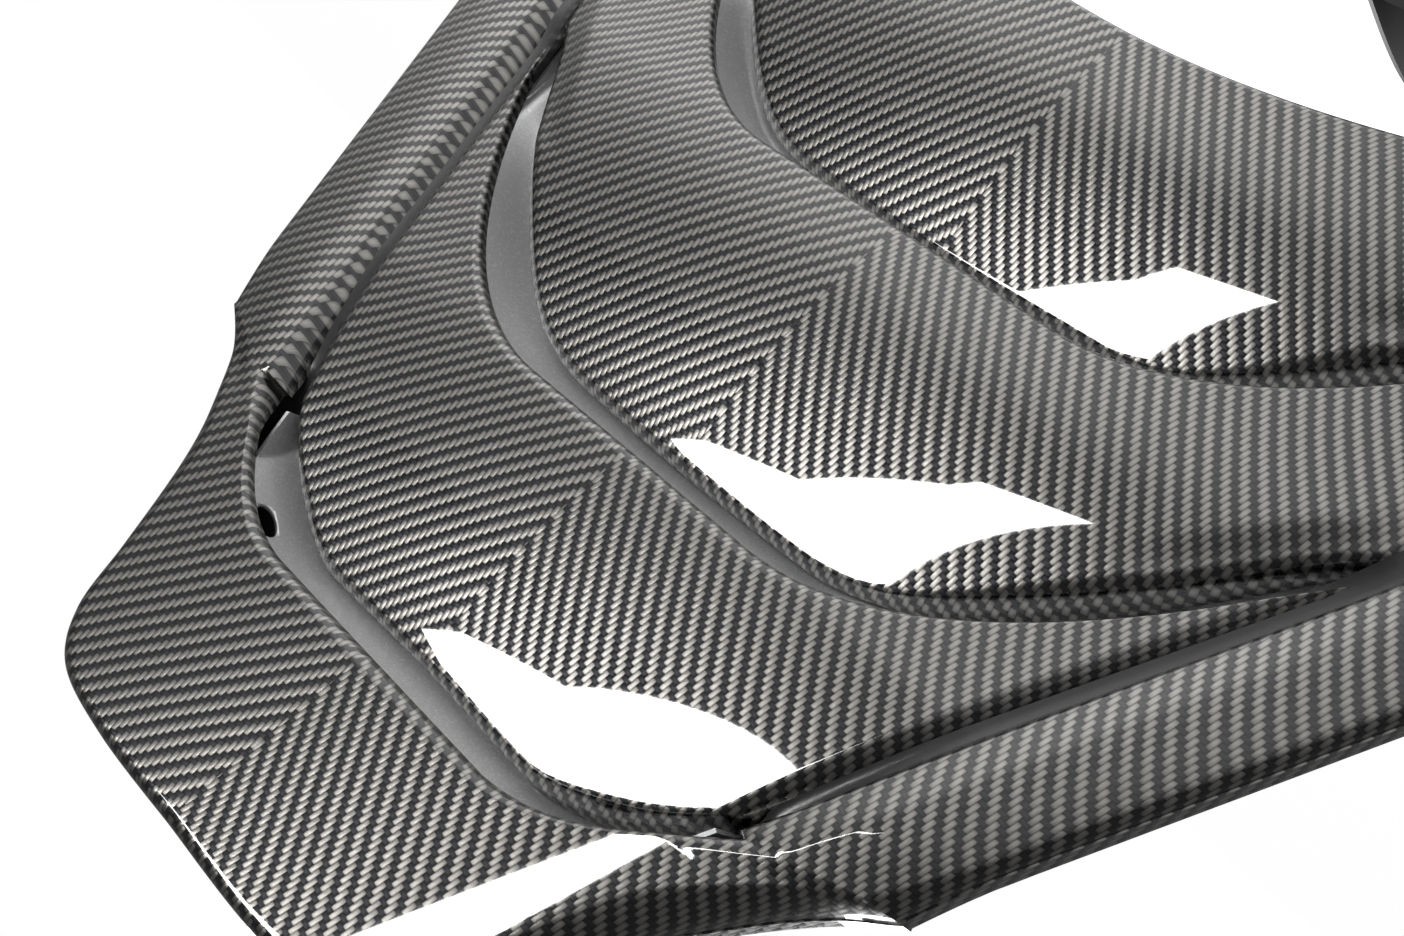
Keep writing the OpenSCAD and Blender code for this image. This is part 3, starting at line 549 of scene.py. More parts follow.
def blade_point(step, p, q):
    """p runs across the blade from -1 to 1. q goes down it to its lip at 1, then round the hem to 2."""
    a, b = np.abs(p), np.minimum(q, 1)
    x, v = blade_plan(step, a, b)
    end_x, end_v = blade_plan(step, np.ones_like(a), b)
    x = x + a ** END_TURN * (groove_x(end_v) - EDGE_GAP - end_x)
    length = arch_place(step[2], a)[1] - arch_place(step[0], a)[1]
    h = lerp(step[4](x, v), tucked(step, x, v), smooth(1 - b * length / TUCK_REACH))
    h = h - valley(np.maximum(0, groove_x(v) - x)) - roll((1 - b) * length, UNDER_R)
    h = h - roll(b * length, upper_radius(step, a))
    return back_point(np.copysign(x, p), v, h - HEM * np.maximum(0, q - 1))


def louvre_blade(name, step):
    a = np.linspace(-1, 1, 321)
    p = np.sign(a) * np.abs(a) ** 0.85
    q = np.concatenate([0.16 * np.linspace(0, 0.96, 22) ** 2, np.linspace(0.16, 0.93, 54),
                        1 - 0.07 * np.linspace(0.95, 0, 16) ** 2, np.linspace(1.1, 2, 5)])
    pp, qq = np.meshgrid(p, q, indexing="ij")
    face = blade_point(step, pp, qq)
    cloth = cloth_of(face, face[..., 0], BACK_Z - face[..., 2])
    blade = slab(name + "_skin", face, SKIN_T, cloth, crease=50)
    blade.data.materials.append(clear_carbon)
    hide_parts(name)
    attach(blade, "seat")


louvre_blade("louvre_blade_upper", UPPER)
louvre_blade("louvre_blade_middle", MIDDLE)
louvre_blade("louvre_blade_lower", LOWER)

# ---------------------------------------------------------------------------------------------
# Louvre liners: thin pressed strips that close the step behind each lip, sprayed in metallic
# silver. They are bonded to the lip above and to the next blade's hidden edge.
LINER_T = 1.6
LINER_GAP, LINER_END_GAP = 1.5, 6
LINER_LAND = 4
GROOVE_CLEAR = 3


def metallic_silver():
    tool, material = bench("sprayed_silver")
    place = tool.node("ShaderNodeTexCoord", output="Object")
    flakes = tool.node("ShaderNodeTexVoronoi", {}, {"Vector": place, "Scale": 1500.0})
    glint = flakes.output("Color").node("ShaderNodeSeparateColor", {}, {"Color": flakes.output("Color")})
    cloud = tool.node("ShaderNodeTexNoise", {}, {"Vector": place, "Scale": 18.0, "Detail": 2.0})
    # The rare bright flake cells are painted glints in the colour; the flakes' bump is real relief.
    tone = glint ** 5 * 0.8 + cloud * 0.1 + 0.15
    colour = tone.blend((0.72, 0.73, 0.74, 1), (0.98, 0.985, 0.99, 1))
    rough = 0.42 - glint * 0.08
    relief = tool.node("ShaderNodeBump", {}, {"Height": glint, "Distance": 0.00003, "Strength": 1.0})
    close(tool, Base_Color=colour, Roughness=rough, Normal=relief, Metallic=0.6)
    return material


silver = metallic_silver()


def liner_point(step, p, q):
    """p runs across the strip from -1 to 1, and q down it from under the lip to under the blade."""
    a = np.abs(p)
    x, v = arch_place(step[0], a, lerp(-LIP_R, wall_width(step, a) + LINER_LAND, q))
    x = np.minimum(x, groove_x(v) - GROOVE_CLEAR)
    high = step[3](x, v) - LIP_R - HEM - LINER_GAP
    gap = lerp(LINER_GAP, LINER_END_GAP, a ** 8)
    low = np.minimum(high, tucked(step, x, v) - upper_radius(step, a) - SKIN_T - gap)
    h = lerp(high, low, 1 - (1 - q) ** 2) - valley(np.maximum(0, groove_x(v) - x))
    return back_point(np.copysign(x, p), v, h)


def bar(name, points, mirrored=False):
    """A closed straight bar. points holds the outline of its lower end, then that of its upper end."""
    points = np.array(points)
    n = len(points) // 2
    ring = np.arange(n)
    after = np.roll(ring, -1)
    faces = [ring[::-1].tolist(), (ring + n).tolist()]
    faces += np.stack([ring, after, after + n, ring + n], -1).tolist()
    if mirrored:
        points, faces = points * [-1, 1, 1], [face[::-1] for face in faces]
    return mesh_object(name, points, faces)


def cut_away(piece, *cutters):
    for cutter in cutters:
        modify(piece, "BOOLEAN", operation="DIFFERENCE", solver="EXACT", object=cutter)
        bpy.data.objects.remove(cutter)


# An oval vent in the wall under the head section, on each side.
VENT_PLACE, VENT_OUT, VENT_ALONG = (92, 420, 866), (-0.33, 0.26, -0.91), (0.82, -0.26, -0.51)
VENT_LONG, VENT_WIDE = 8.5, 5.2
VENT_REACH = 6


def vent_cutter(mirrored):
    turn = np.linspace(0, 2 * math.pi, 49)[:-1]
    out, run = unit(np.array(VENT_OUT)), unit(np.array(VENT_ALONG))
    outline = (np.outer(np.cos(turn) * VENT_LONG, run)
               + np.outer(np.sin(turn) * VENT_WIDE, np.cross(out, run)))
    points = [VENT_PLACE + outline + deep * out for deep in (-VENT_REACH, VENT_REACH)]
    return bar("vent_cutter", np.concatenate(points), mirrored)


def louvre_liner(name, step):
    pp, qq = np.meshgrid(np.linspace(-1, 1, 241), np.linspace(0, 1, 31), indexing="ij")
    face = liner_point(step, pp, qq)
    liner = slab(name + "_strip", face, LINER_T, face)
    if step is UPPER:
        cut_away(liner, vent_cutter(False), vent_cutter(True))
    liner.data.materials.append(silver)
    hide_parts(name)
    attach(liner, "seat")


louvre_liner("louvre_liner_upper", UPPER)
louvre_liner("louvre_liner_middle", MIDDLE)
louvre_liner("louvre_liner_lower", LOWER)


# ---------------------------------------------------------------------------------------------
# Groove fillets: black resin run into the two grooves when the blades are bonded in.
FILLET_END_V, FILLET_HALF, FILLET_T = 298, 7, 3


def groove_fillet(name, side):
    v = np.linspace(groove_start + 1, FILLET_END_V, 260)
    g = np.linspace(-FILLET_HALF, FILLET_HALF, 15)
    vv, gg = np.meshgrid(v, g, indexing="ij")
    x = groove_x(vv) + 0.6 + gg
    end = smooth((vv - groove_start - 1) / 14)
    h = groove_h(vv) - GROOVE_D * 0.6 + 0.03 * gg ** 2 - 3 * (1 - end)
    face = back_point(side * x, vv, h)
    if side > 0:
        face = face[:, ::-1]
    fillet = slab(name + "_resin", face, FILLET_T, face)
    fillet.data.materials.append(black_resin)
    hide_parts(name)
    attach(fillet, "seat")


def cured_resin():
    tool, material = bench("black_resin")
    place = tool.node("ShaderNodeTexCoord", output="Object")
    cloud = tool.node("ShaderNodeTexNoise", {}, {"Vector": place, "Scale": 90.0, "Detail": 3.0})
    colour = cloud.blend((0.012, 0.012, 0.013, 1), (0.035, 0.035, 0.037, 1))
    relief = tool.node("ShaderNodeBump", {}, {"Height": cloud, "Distance": 0.0004, "Strength": 0.5})
    close(tool, Base_Color=colour, Roughness=cloud * 0.2 + 0.12, Normal=relief)
    return material


black_resin = cured_resin()
groove_fillet("groove_bond_right", 1)
groove_fillet("groove_bond_left", -1)


# ---------------------------------------------------------------------------------------------
# The bucket itself: laid up, cured, then cut for the window and the five belt slots.
SHOULDER, LAP, CROTCH = (14.5, 0.26), (7.75, 0.74), (3.36, 0)
WINDOW_U, WINDOW_W, WINDOW_H, WINDOW_R = 11.05, 296, 132, 34
BELT_W, BELT_H, LAP_W, CROTCH_H, SLOT_R, BEZEL_T = 78, 22, 52, 26, 8, 4
CUT_REACH = 30
BUCKET_CREASE = 35


def wall_frame(place, spin):
    """Point on the bucket's inside and axes there: across the slot, along it, and out of the wall."""
    n = bucket_out(*place)
    polar, azimuth = math.acos(n[2]), math.atan2(n[1], n[0])
    turned = (Matrix.Rotation(azimuth, 3, "Z") @ Matrix.Rotation(polar, 3, "Y")
              @ Matrix.Rotation(spin, 3, "Z"))
    return bucket_point(*place), np.array(turned)


def rounded_outline(w, h, r, steps=12):
    """Corners turn as arcs of radius r."""
    arc = np.linspace(0, math.pi / 2, steps)
    corners = ((1, 1, 0), (-1, 1, math.pi / 2), (-1, -1, math.pi), (1, -1, 1.5 * math.pi))
    return np.array([[sx * (w / 2 - r) + r * math.cos(a + turn), sy * (h / 2 - r) + r * math.sin(a + turn)]
                     for sx, sy, turn in corners for a in arc])


def slot_cutter(place, spin, w, h, r, mirrored=False):
    middle, axes = wall_frame(place, spin)
    points = [middle + axes @ np.array([x, y, z])
              for z in (-CUT_REACH, CUT_REACH) for x, y in rounded_outline(w, h, r)]
    return bar("cutter", points, mirrored)


def run_along(face, axis):
    """Distance travelled over a grid's surface along one of its axes."""
    steps = np.linalg.norm(np.diff(face, axis=axis), axis=-1)
    return np.cumsum(np.insert(steps, 0, 0, axis=axis), axis=axis)


def inner_bucket():
    u = np.linspace(0, LAST_U, 265)
    s = np.linspace(1, -1, 141)
    uu, ss = np.meshgrid(u, s, indexing="ij")
    face = bucket_point(uu, ss)
    along_wall, across_wall = run_along(face, 0), run_along(face, 1)
    middle = across_wall.shape[1] // 2
    across_wall = np.abs(across_wall - across_wall[:, middle:middle + 1])
    down_wall = np.broadcast_to(along_wall[:, middle:middle + 1], across_wall.shape)
    cloth = np.stack([across_wall, down_wall, np.zeros_like(across_wall)], -1)
    bucket = slab("inner_bucket_skin", face, BUCKET_T, cloth, crease=BUCKET_CREASE)
    quarter = math.pi / 2
    grown = 2 * BEZEL_T
    cut_away(bucket, slot_cutter((WINDOW_U, 0), quarter, WINDOW_W, WINDOW_H, WINDOW_R),
             slot_cutter(CROTCH, quarter, BELT_W + grown, CROTCH_H + grown, SLOT_R + BEZEL_T),
             *(slot_cutter(SHOULDER, quarter, BELT_W + grown, BELT_H + grown, SLOT_R + BEZEL_T, side)
               for side in (False, True)),
             *(slot_cutter(LAP, 0, LAP_W + grown, BELT_H + grown, SLOT_R + BEZEL_T, side)
               for side in (False, True)))
    bucket.data.shade_smooth()
    bucket.data.set_sharp_from_angle(angle=math.radians(BUCKET_CREASE))
    return bucket


# The first colour is the painted highlight on the tows down the seat, the second the near black of the tows
# across it.
satin_carbon = twill_carbon("satin_bucket_twill", (0.24, 0.232, 0.22), (0.024, 0.025, 0.028), 0.00025,
                            Metallic=0.0, Roughness=0.42, Specular_IOR_Level=0.45)
bucket = inner_bucket()
bucket.data.materials.append(satin_carbon)
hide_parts("bucket_pan", "bucket_hips", "bucket_back", "bucket_head")
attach(bucket, "seat")

# ---------------------------------------------------------------------------------------------
# Pads: cut foam under a sewn cover of black woven fabric, held in the bucket with hook tape.
# Each cover has a flat panel on top, a seam round it with a row of stitches, and piped edges.
PAD_EDGE = 7
COVER_GRAIN = 5  # cell of the mesh that the cover is sewn from
SWELL, SWELL_FRAMES = 6, 20
SEAM_PLACE, SEAM_DIP = 0.8, 2.2
CHANNEL_DIP, CHANNEL_WIDE = 5, 6.5
PIPING_PLACE, PIPING_R = 0.965, 1.7
NO_SEAM = 99.0


def woven_fabric():
    """Plain weave with a fine nap. The covers' coordinates are across, along and away from a seam."""
    tool, material = bench("woven_pad_fabric")
    cloth = tool.node("ShaderNodeAttribute", {"attribute_name": "cloth"}, output="Vector")
    place = tool.node("ShaderNodeSeparateXYZ", {}, {"Vector": cloth})
    thread = 0.9
    a, b = place / thread, place.output("Y") / thread
    over = (a.floor() + b.floor()) % 2
    weave = over * a.bulge() + (1.0 - over) * b.bulge()
    nap = tool.node("ShaderNodeTexNoise", {}, {"Vector": cloth, "Scale": 0.9, "Detail": 4.0})
    wear = tool.node("ShaderNodeTexNoise", {}, {"Vector": cloth, "Scale": 0.02, "Detail": 2.0})
    seam = place.output("Z")
    beside = tool.maths("ABSOLUTE", tool.maths("ABSOLUTE", seam) - 2.6) < 0.45
    stitch = beside * (((place + place.output("Y")) / 3.4) % 1 < 0.68)
    tone = weave * 0.55 + nap * 0.35 + wear * 0.2
    plain = tone.blend((0.012, 0.012, 0.013, 1), (0.062, 0.062, 0.067, 1))
    colour = stitch.blend(plain, (0.2, 0.2, 0.205, 1))
    height = weave * 0.5 + nap * 0.4 + stitch * 0.8
    relief = tool.node("ShaderNodeBump", {}, {"Height": height, "Distance": 0.0004, "Strength": 0.7})
    close(tool, Base_Color=colour, Roughness=nap * 0.15 + 0.75, Normal=relief, Sheen_Weight=0.35,
          Sheen_Roughness=0.5, Specular_IOR_Level=0.2)
    return material


def pad_base(span, a, b, gap):
    """Underside of a pad at shares a along it and b across it, both from -1 to 1."""
    u0, u1, s0, s1 = span
    u, s = lerp(u0, u1, (a + 1) / 2), lerp(s1, s0, (b + 1) / 2)
    return bucket_point(u, s) + gap * bucket_out(u, s)


def superellipse(a, b, power):
    """1 on a rounded square's outline, and less inside it."""
    return (np.abs(a) ** power + np.abs(b) ** power) ** (1 / power)


def pad_mesh(name, span, thick, gap, inset=4.0):
    """The pad's plain closed form, a little smaller than its place so that it can swell."""
    a, b = np.meshgrid(np.linspace(-1, 1, 45), np.linspace(-1, 1, 45), indexing="ij")
    middle = pad_base(span, np.array([-1, 1, 0, 0.0]), np.array([0, 0, -1, 1.0]), gap)
    long, wide = np.linalg.norm(middle[0] - middle[1]), np.linalg.norm(middle[2] - middle[3])
    a, b = a * (1 - 2 * inset / long), b * (1 - 2 * inset / wide)
    base = pad_base(span, a, b, gap + 0.5)
    out = grid_normals(base)
    rise = PAD_EDGE + (thick - PAD_EDGE - 3) * np.sqrt((1 - np.abs(a) ** 4) * (1 - np.abs(b) ** 4))
    face = base + rise[..., None] * out
    return closed_sheet(name, face, base)


def points_of(mesh):
    co = np.zeros(len(mesh.vertices) * 3, np.float32)
    mesh.vertices.foreach_get("co", co)
    return co.reshape(-1, 3).astype(float) / MM


def put_points(piece, points):
    piece.data.vertices.foreach_set("co", (points * MM).astype(np.float32).ravel())
    piece.data.update()


def inflate(piece, most):
    """Blows the cover up with cloth pressure, and lets no point move further than most."""
    before = points_of(piece.data)
    cloth = piece.modifiers.new("cloth", "CLOTH")
    cloth.settings.use_pressure = True
    cloth.settings.uniform_pressure_force = 4
    cloth.settings.effector_weights.gravity = 0
    cloth.settings.quality = 5
    cloth.point_cache.frame_start, cloth.point_cache.frame_end = 1, SWELL_FRAMES
    for step in range(1, SWELL_FRAMES + 1):
        scene.frame_set(step)
    after = points_of(piece.evaluated_get(bpy.context.evaluated_depsgraph_get()).data)
    piece.modifiers.remove(cloth)
    scene.frame_set(1)
    move = after - before
    size = np.linalg.norm(move, axis=1, keepdims=True)
    put_points(piece, before + move * np.minimum(1, most / np.maximum(size, 1e-6)))


def sewn_pad(node, span, thick, gap, channels=(), hole=None, twin=None):
    """span is (u0, u1, s0, s1) on the bucket. channels are shares along the pad that are quilted down."""
    piece = pad_mesh(node + "_cover", span, thick, gap)
    if hole:
        cut_away(piece, slot_cutter(*hole))
    modify(piece, "REMESH", mode="VOXEL", voxel_size=COVER_GRAIN * MM)
    inflate(piece, SWELL)
    modify(piece, "SUBSURF", levels=1)
    fine = np.linspace(-1, 1, 121)
    middle = len(fine) // 2
    aa, bb = np.meshgrid(fine, fine, indexing="ij")
    base = pad_base(span, aa, bb, gap)
    out = grid_normals(base).reshape(-1, 3)
    length = np.linalg.norm(np.diff(base[:, middle], axis=0), axis=1).sum()
    width = np.linalg.norm(np.diff(base[middle], axis=0), axis=1).sum()
    base = base.reshape(-1, 3)
    tree = kdtree.KDTree(len(base))
    for i, point in enumerate(base):
        tree.insert(point, i)
    tree.balance()
    points = points_of(piece.data)
    near = np.array([tree.find(point)[1] for point in points])
    normal = out[near]
    high = np.einsum("ij,ij->i", points - base[near], normal)
    points += np.maximum(0, 0.3 - high)[:, None] * normal
    a, b = aa.ravel()[near], bb.ravel()[near]
    beside = (superellipse(a, b, 5) - SEAM_PLACE) * min(length, width) / 2
    top = smooth((high - PAD_EDGE * 0.7) / PAD_EDGE)
    dip = SEAM_DIP * np.exp(-(beside / SEAM_DIP) ** 2)
    inside = smooth(-beside / 6)
    for share in channels:
        across = (a - share) * length / 2
        dip = np.maximum(dip, CHANNEL_DIP * np.exp(-np.abs(across / CHANNEL_WIDE) ** 1.3) * inside)
        beside = np.where(np.abs(across) < np.abs(beside), across, beside)
    put_points(piece, points - (dip * top)[:, None] * normal)
    put_cloth(piece.data, np.stack([b * width / 2, a * length / 2, np.where(top > 0.3, beside, NO_SEAM)], -1))
    for padded, sign in ((node, 1), (twin, -1)):
        if padded is None:
            continue
        made = piece
        if sign < 0:
            made = bpy.data.objects.new(padded + "_cover", piece.data.copy())
            scene.collection.objects.link(made)
            put_points(made, points_of(piece.data) * [-1, 1, 1])
            made.data.flip_normals()
        made.data.shade_smooth()
        made.data.materials.clear()
        made.data.materials.append(pad_fabric)
        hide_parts(padded)
        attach(made, "seat")
        piping(made.name + "_piping", span, gap, sign)


def piping(name, span, gap, sign):
    """A cord sewn into the cover's outer edge, drawn as a thin tube round the pad."""
    turn = np.linspace(0, 2 * math.pi, 241)[:-1]
    edge = superellipse(np.cos(turn), np.sin(turn), 8)
    a, b = np.cos(turn) / edge * PIPING_PLACE, np.sin(turn) / edge * PIPING_PLACE
    ring = pad_base(span, a, b, gap + PAD_EDGE - 1) * [sign, 1, 1]
    ahead = unit(np.roll(ring, -1, axis=0) - np.roll(ring, 1, axis=0))
    u = lerp(span[0], span[1], (a + 1) / 2)
    out = bucket_out(u, lerp(span[3], span[2], (b + 1) / 2)) * [sign, 1, 1]
    side = unit(np.cross(ahead, out))
    sides = 10
    spin = np.linspace(0, 2 * math.pi, sides + 1)[:-1, None]
    tube = ring[:, None] + PIPING_R * (np.cos(spin) * out[:, None] + np.sin(spin) * side[:, None])
    i, j = np.meshgrid(np.arange(len(ring)), np.arange(sides), indexing="ij")
    this, following = i * sides, (i + 1) % len(ring) * sides
    beyond = (j + 1) % sides
    faces = np.stack([this + j, this + beyond, following + beyond, following + j], -1).reshape(-1, 4)
    run = np.stack(np.broadcast_arrays(i * 3.0, j * 1.0, NO_SEAM), -1)
    cord = mesh_object(name, tube.reshape(-1, 3), faces, run, crease=80)
    cord.data.materials.append(pad_fabric)
    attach(cord, "seat")


pad_fabric = woven_fabric()
sewn_pad("head_pad", (17.15, 18.95, -0.4, 0.4), 32, 1)
sewn_pad("upper_back_pad", (15.15, 16.85, -0.4, 0.4), 24, 1)
sewn_pad("mid_back_pad", (12.35, 13.8, -0.4, 0.4), 22, 1, channels=(0,))
sewn_pad("lumbar_pad", (8.5, 9.85, -0.42, 0.42), 34, 1, channels=(0,))
sewn_pad("seat_cushion", (1.9, 6.2, -0.42, 0.42), 42, 2, channels=(0.08, 0.52),
         hole=(CROTCH, math.pi / 2, BELT_W + 26, 54, 16))
sewn_pad("torso_pad_right", (9.7, 13.1, 0.6, 0.95), 26, 3, channels=(0,), twin="torso_pad_left")
sewn_pad("hip_pad_right", (2.8, 4.8, 0.58, 0.95), 20, 2, twin="hip_pad_left")


# ---------------------------------------------------------------------------------------------
# Belt bezels and the window's edging. The bezels are moulded in satin black plastic with a fine
# spark-eroded grain; the edging is a rubber channel pushed over the cut edge of the bucket.
def coating(name, dark, light, rough, patch, grain, depth, **skin):
    """A skin whose colour drifts over patches and whose relief is a fine grain. Sizes are millimetres."""
    tool, material = bench(name)
    place = tool.node("ShaderNodeTexCoord", output="Object")
    drift = tool.node("ShaderNodeTexNoise", {}, {"Vector": place, "Scale": 1000 / patch, "Detail": 3.0})
    fine = tool.node("ShaderNodeTexNoise", {}, {"Vector": place, "Scale": 1000 / grain, "Detail": 2.0})
    tone = drift * 0.75 + fine * 0.25
    colour = tone.blend((*dark, 1), (*light, 1))
    relief = tool.node("ShaderNodeBump", {}, {"Height": fine, "Distance": depth * MM, "Strength": 0.8})
    close(tool, Base_Color=colour, Roughness=rough + (tone - 0.5) * 0.25, Normal=relief, **skin)
    return material


def refinish(material, *nodes):
    """Gives CAD nodes their finish."""
    for name in nodes:
        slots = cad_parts[name].data.materials
        slots.clear()
        slots.append(material)


LEFT_RIGHT = ("left", "right")
refinish(coating("satin_bezel_plastic", (0.012, 0.012, 0.013), (0.035, 0.035, 0.037), 0.5, 30, 0.35, 0.02),
         "crotch_belt_bezel",
         *(f"{belt}_belt_bezel_{side}" for belt in ("shoulder", "lap") for side in LEFT_RIGHT))
refinish(coating("matt_edge_rubber", (0.01, 0.01, 0.01), (0.03, 0.03, 0.03), 0.8, 12, 0.8, 0.03),
         "window_trim", "bar_grip")

# ---------------------------------------------------------------------------------------------
# Side brackets: laser-cut steel, folded and powder coated in black. The release bar is bent tube
# with the same coat. Both show the coat's slight orange peel.
refinish(coating("black_powder_coat", (0.014, 0.014, 0.015), (0.034, 0.034, 0.036), 0.42, 40, 1.6, 0.05,
                 Coat_Weight=0.25, Coat_Roughness=0.3),
         "side_bracket_left", "side_bracket_right", "release_bar")

# ---------------------------------------------------------------------------------------------
# Fasteners: zinc-plated inserts, washers and pivot pins, and black oxide socket screws.
refinish(coating("zinc_plate", (0.42, 0.43, 0.45), (0.62, 0.63, 0.66), 0.34, 6, 0.5, 0.01, Metallic=1.0),
         "shell_inserts", "shell_washers", "pivot_pins", "rail_balls_left", "rail_balls_right")
refinish(coating("black_oxide", (0.02, 0.02, 0.022), (0.055, 0.055, 0.06), 0.4, 8, 0.4, 0.01, Metallic=0.6),
         "shell_bolts", "bracket_bolts")


# ---------------------------------------------------------------------------------------------
# Slide rails: rolled steel sections with a grey phosphate finish, drawn along their length, with
# nylon ball cages and black end stops.
def drawn_steel():
    tool, material = bench("drawn_phosphated_steel")
    place = tool.node("ShaderNodeTexCoord", output="Object")
    along_rail = tool.node("ShaderNodeMapping", {}, {"Vector": place, "Scale": (900.0, 12.0, 900.0)})
    lines = tool.node("ShaderNodeTexNoise", {}, {"Vector": along_rail, "Scale": 1.0, "Detail": 2.0})
    crystals = tool.node("ShaderNodeTexVoronoi", {}, {"Vector": place, "Scale": 700.0})
    tone = lines * 0.55 + crystals * 0.5
    colour = tone.blend((0.16, 0.165, 0.17, 1), (0.36, 0.365, 0.38, 1))
    relief = tool.node("ShaderNodeBump", {}, {"Height": lines, "Distance": 0.00002, "Strength": 0.7})
    close(tool, Base_Color=colour, Roughness=0.38 + tone * 0.22, Normal=relief, Metallic=0.85)
    return material


refinish(drawn_steel(), *(f"{rail}_rail_{side}" for rail in ("upper", "lower") for side in LEFT_RIGHT))
refinish(coating("natural_nylon", (0.52, 0.49, 0.4), (0.72, 0.69, 0.6), 0.5, 15, 0.6, 0.02,
                 Subsurface_Weight=0.1), "ball_cage_left", "ball_cage_right")
refinish(coating("stop_plastic", (0.012, 0.012, 0.012), (0.035, 0.035, 0.035), 0.55, 10, 0.5, 0.02),
         "rail_end_stops")


# ---------------------------------------------------------------------------------------------
# Latch: two toothed plates welded to the release bar, yellow zinc plated, and the oiled wire
# springs on the pivots that press their teeth into the rails.
def yellow_zinc():
    tool, material = bench("yellow_zinc_plate")
    place = tool.node("ShaderNodeTexCoord", output="Object")
    film = tool.node("ShaderNodeTexNoise", {}, {"Vector": place, "Scale": 120.0, "Detail": 2.0,
                                                "Distortion": 0.8})
    colour = film.node("ShaderNodeValToRGB", {"stops": (
        (0.3, (0.62, 0.42, 0.13, 1)), (0.5, (0.66, 0.55, 0.24, 1)), (0.62, (0.45, 0.5, 0.3, 1)),
        (0.72, (0.62, 0.38, 0.3, 1)))}, {"Fac": film}, "Color")
    relief = tool.node("ShaderNodeBump", {}, {"Height": film, "Distance": 0.00003, "Strength": 0.5})
    close(tool, Base_Color=colour, Roughness=0.25 + film * 0.2, Normal=relief, Metallic=1.0)
    return material


refinish(yellow_zinc(), "latch_plate_left", "latch_plate_right")
refinish(coating("oiled_spring_wire", (0.08, 0.08, 0.085), (0.3, 0.3, 0.32), 0.3, 3, 0.5, 0.01, Metallic=1.0),
         "return_springs")


# ---------------------------------------------------------------------------------------------
# Studio: a pale floor, a white surround, a softbox panel behind the seat and a wide soft lamp in
# front. In reflections the surround is darker than the camera sees it, except the floor close by.
SURROUND = 0.3
MIRRORED = 0.15
FLOOR_NEAR, FLOOR_FAR = 1.1, 2.0


def seen_directly(tool, mirrored):
    """1 where the camera looks, or looks through glass, and mirrored in a reflection. The second
    value says whether it is a reflection."""
    seen = tool.node("ShaderNodeLightPath")
    direct = tool.maths("MAXIMUM", seen, seen.output("Is Transmission Ray"))
    glossy = seen.output("Is Glossy Ray")
    return tool.maths("MAXIMUM", direct, glossy * mirrored), glossy


def pale_floor():
    tool, material = bench("pale_floor")
    place = tool.node("ShaderNodeTexCoord", output="Object")
    far = tool.node("ShaderNodeVectorMath", {"operation": "LENGTH"}, {0: place}, "Value")
    near = tool.node("ShaderNodeMapRange", {}, {
        "Value": far, "From Min": FLOOR_NEAR, "From Max": FLOOR_FAR, "To Min": 1.0, "To Max": MIRRORED})
    direct = seen_directly(tool, near)[0]
    plain = tool.node("ShaderNodeBsdfDiffuse", {}, {"Color": (0.8, 0.8, 0.8, 1)}, "BSDF")
    glow = tool.node("ShaderNodeEmission", {}, {"Color": (1, 1, 1, 1), "Strength": 0.75}, "Emission")
    both = tool.node("ShaderNodeAddShader", {}, {0: plain, 1: glow})
    mixed = tool.node("ShaderNodeMixShader", {}, {0: direct, 1: plain, 2: both})
    tool.node("ShaderNodeOutputMaterial", {}, {"Surface": mixed})
    return material


def white_surround():
    world = bpy.data.worlds.new("white_surround")
    scene.world = world
    world.use_nodes = True
    world.node_tree.nodes.clear()
    tool = Value(world.node_tree)
    direct, glossy = seen_directly(tool, MIRRORED)
    strength = tool.maths("MAXIMUM", direct, (1 - glossy) * SURROUND)
    glow = tool.node("ShaderNodeBackground", {}, {"Color": (1, 1, 1, 1), "Strength": strength})
    tool.node("ShaderNodeOutputWorld", {}, {"Surface": glow})


white_surround()
FLOOR_HALF = 9000
FLOOR_CORNERS = ((-1, -1), (1, -1), (1, 1), (-1, 1))
floor = mesh_object("floor", [[x * FLOOR_HALF, y * FLOOR_HALF, 0] for x, y in FLOOR_CORNERS], [(0, 1, 2, 3)])
floor.data.materials.append(pale_floor())

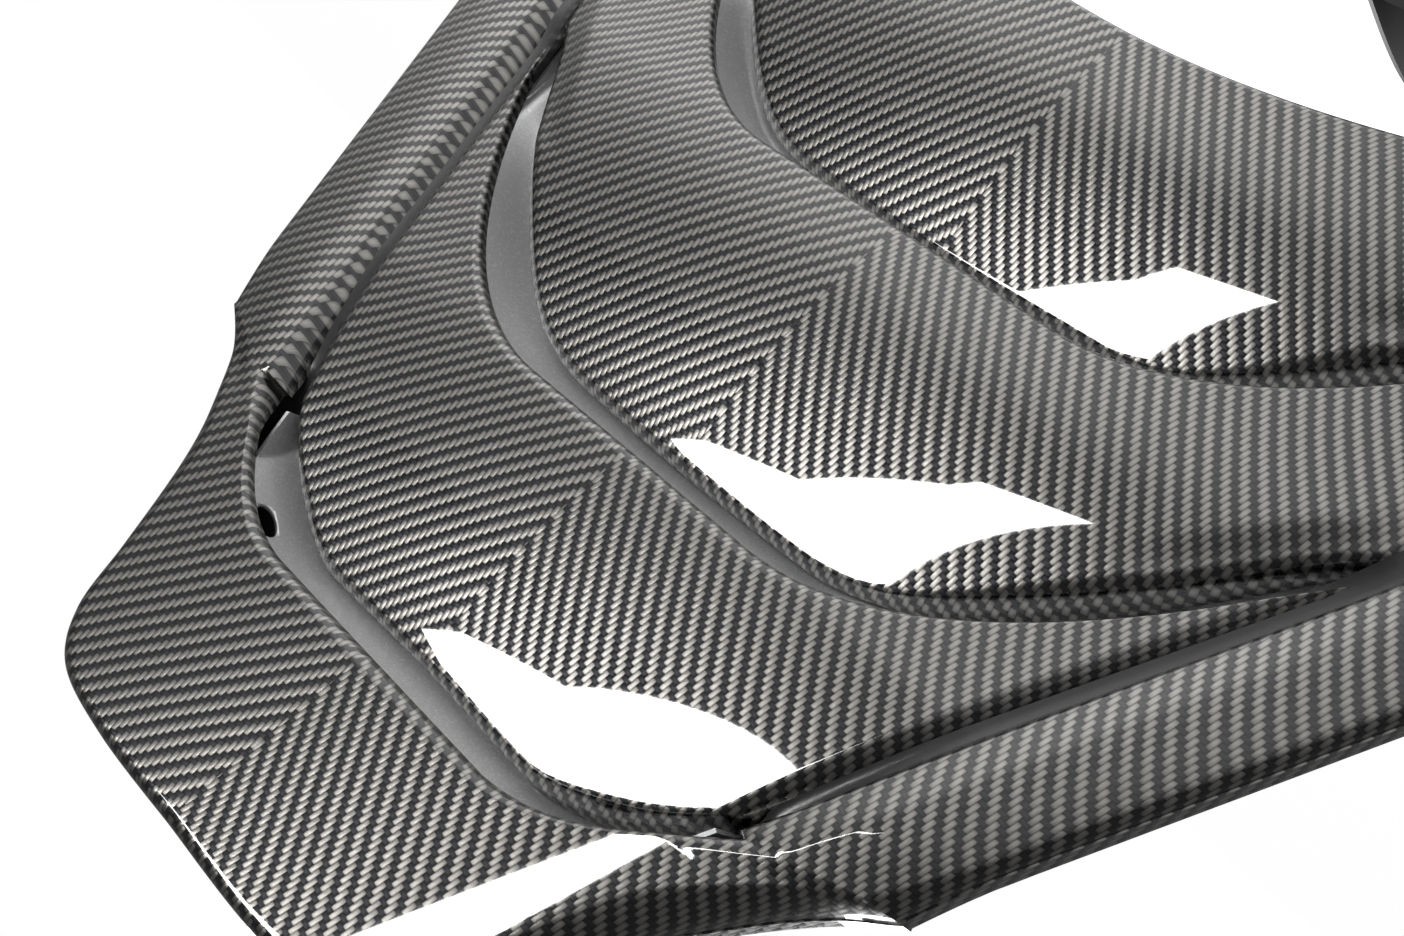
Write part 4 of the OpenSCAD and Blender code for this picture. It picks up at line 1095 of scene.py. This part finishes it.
# The softbox: a panel of diffusion cloth, its near edge towards the middle. Corners in metres.
SOFTBOX = ((-0.56, 1.67, 0.45), (-0.39, 1.43, 0.44), (-0.225, 1.2, 0.43), (-0.262, 1.2, 0.59),
           (-0.31, 1.2, 0.78), (-0.4, 1.25, 1.1), (-0.85, 1.67, 1.35), (-1.1, 1.67, 1.2),
           (-1.01, 1.67, 1.09), (-0.79, 1.67, 0.95), (-0.69, 1.67, 0.8), (-0.61, 1.67, 0.64))
LAMP, MIRRORED_LAMP = 12.0, 30.0
softbox = mesh_object("softbox_panel", np.array(SOFTBOX) / MM, [tuple(range(len(SOFTBOX)))])
tool, diffusion = bench("diffusion_cloth")
seen = tool.node("ShaderNodeLightPath")
strength = seen.output("Is Glossy Ray") * (MIRRORED_LAMP - LAMP) + LAMP
glow = tool.node("ShaderNodeEmission", {}, {"Color": (1, 0.99, 0.97, 1), "Strength": strength}, "Emission")
tool.node("ShaderNodeOutputMaterial", {}, {"Surface": glow})
softbox.data.materials.append(diffusion)

# A wide soft lamp on the seat's front side.
fill = bpy.data.lights.new("front_lamp", "AREA")
fill.shape, fill.size, fill.size_y, fill.energy = "RECTANGLE", 1.8, 1.4, 60
front_lamp = bpy.data.objects.new("front_lamp", fill)
scene.collection.objects.link(front_lamp)
front_lamp.location = (-1.1, -2.2, 1.9)
front_lamp.rotation_euler = (Vector((0, 0, 0.45)) - front_lamp.location).to_track_quat("-Z", "Y").to_euler()

# ---------------------------------------------------------------------------------------------
# Camera: close behind the sitter's left shoulder, rolled so that the head section lies at the
# lower left of the frame.
view = bpy.data.cameras.new("view")
view.sensor_width, view.lens, view.sensor_fit = 36, 53.59, "HORIZONTAL"
view.clip_start, view.clip_end = 0.02, 60
camera = bpy.data.objects.new("view", view)
scene.collection.objects.link(camera)
right, up, towards = (0.6199, -0.4226, -0.6612), (-0.5065, 0.4281, -0.7484), (0.5993, 0.7988, 0.0514)
turn = Matrix((right, up, towards)).transposed()
camera.matrix_world = Matrix.Translation((0.446, 0.9626, 0.787)) @ turn.to_4x4()
scene.camera = camera
scene.view_settings.view_transform = "Standard"
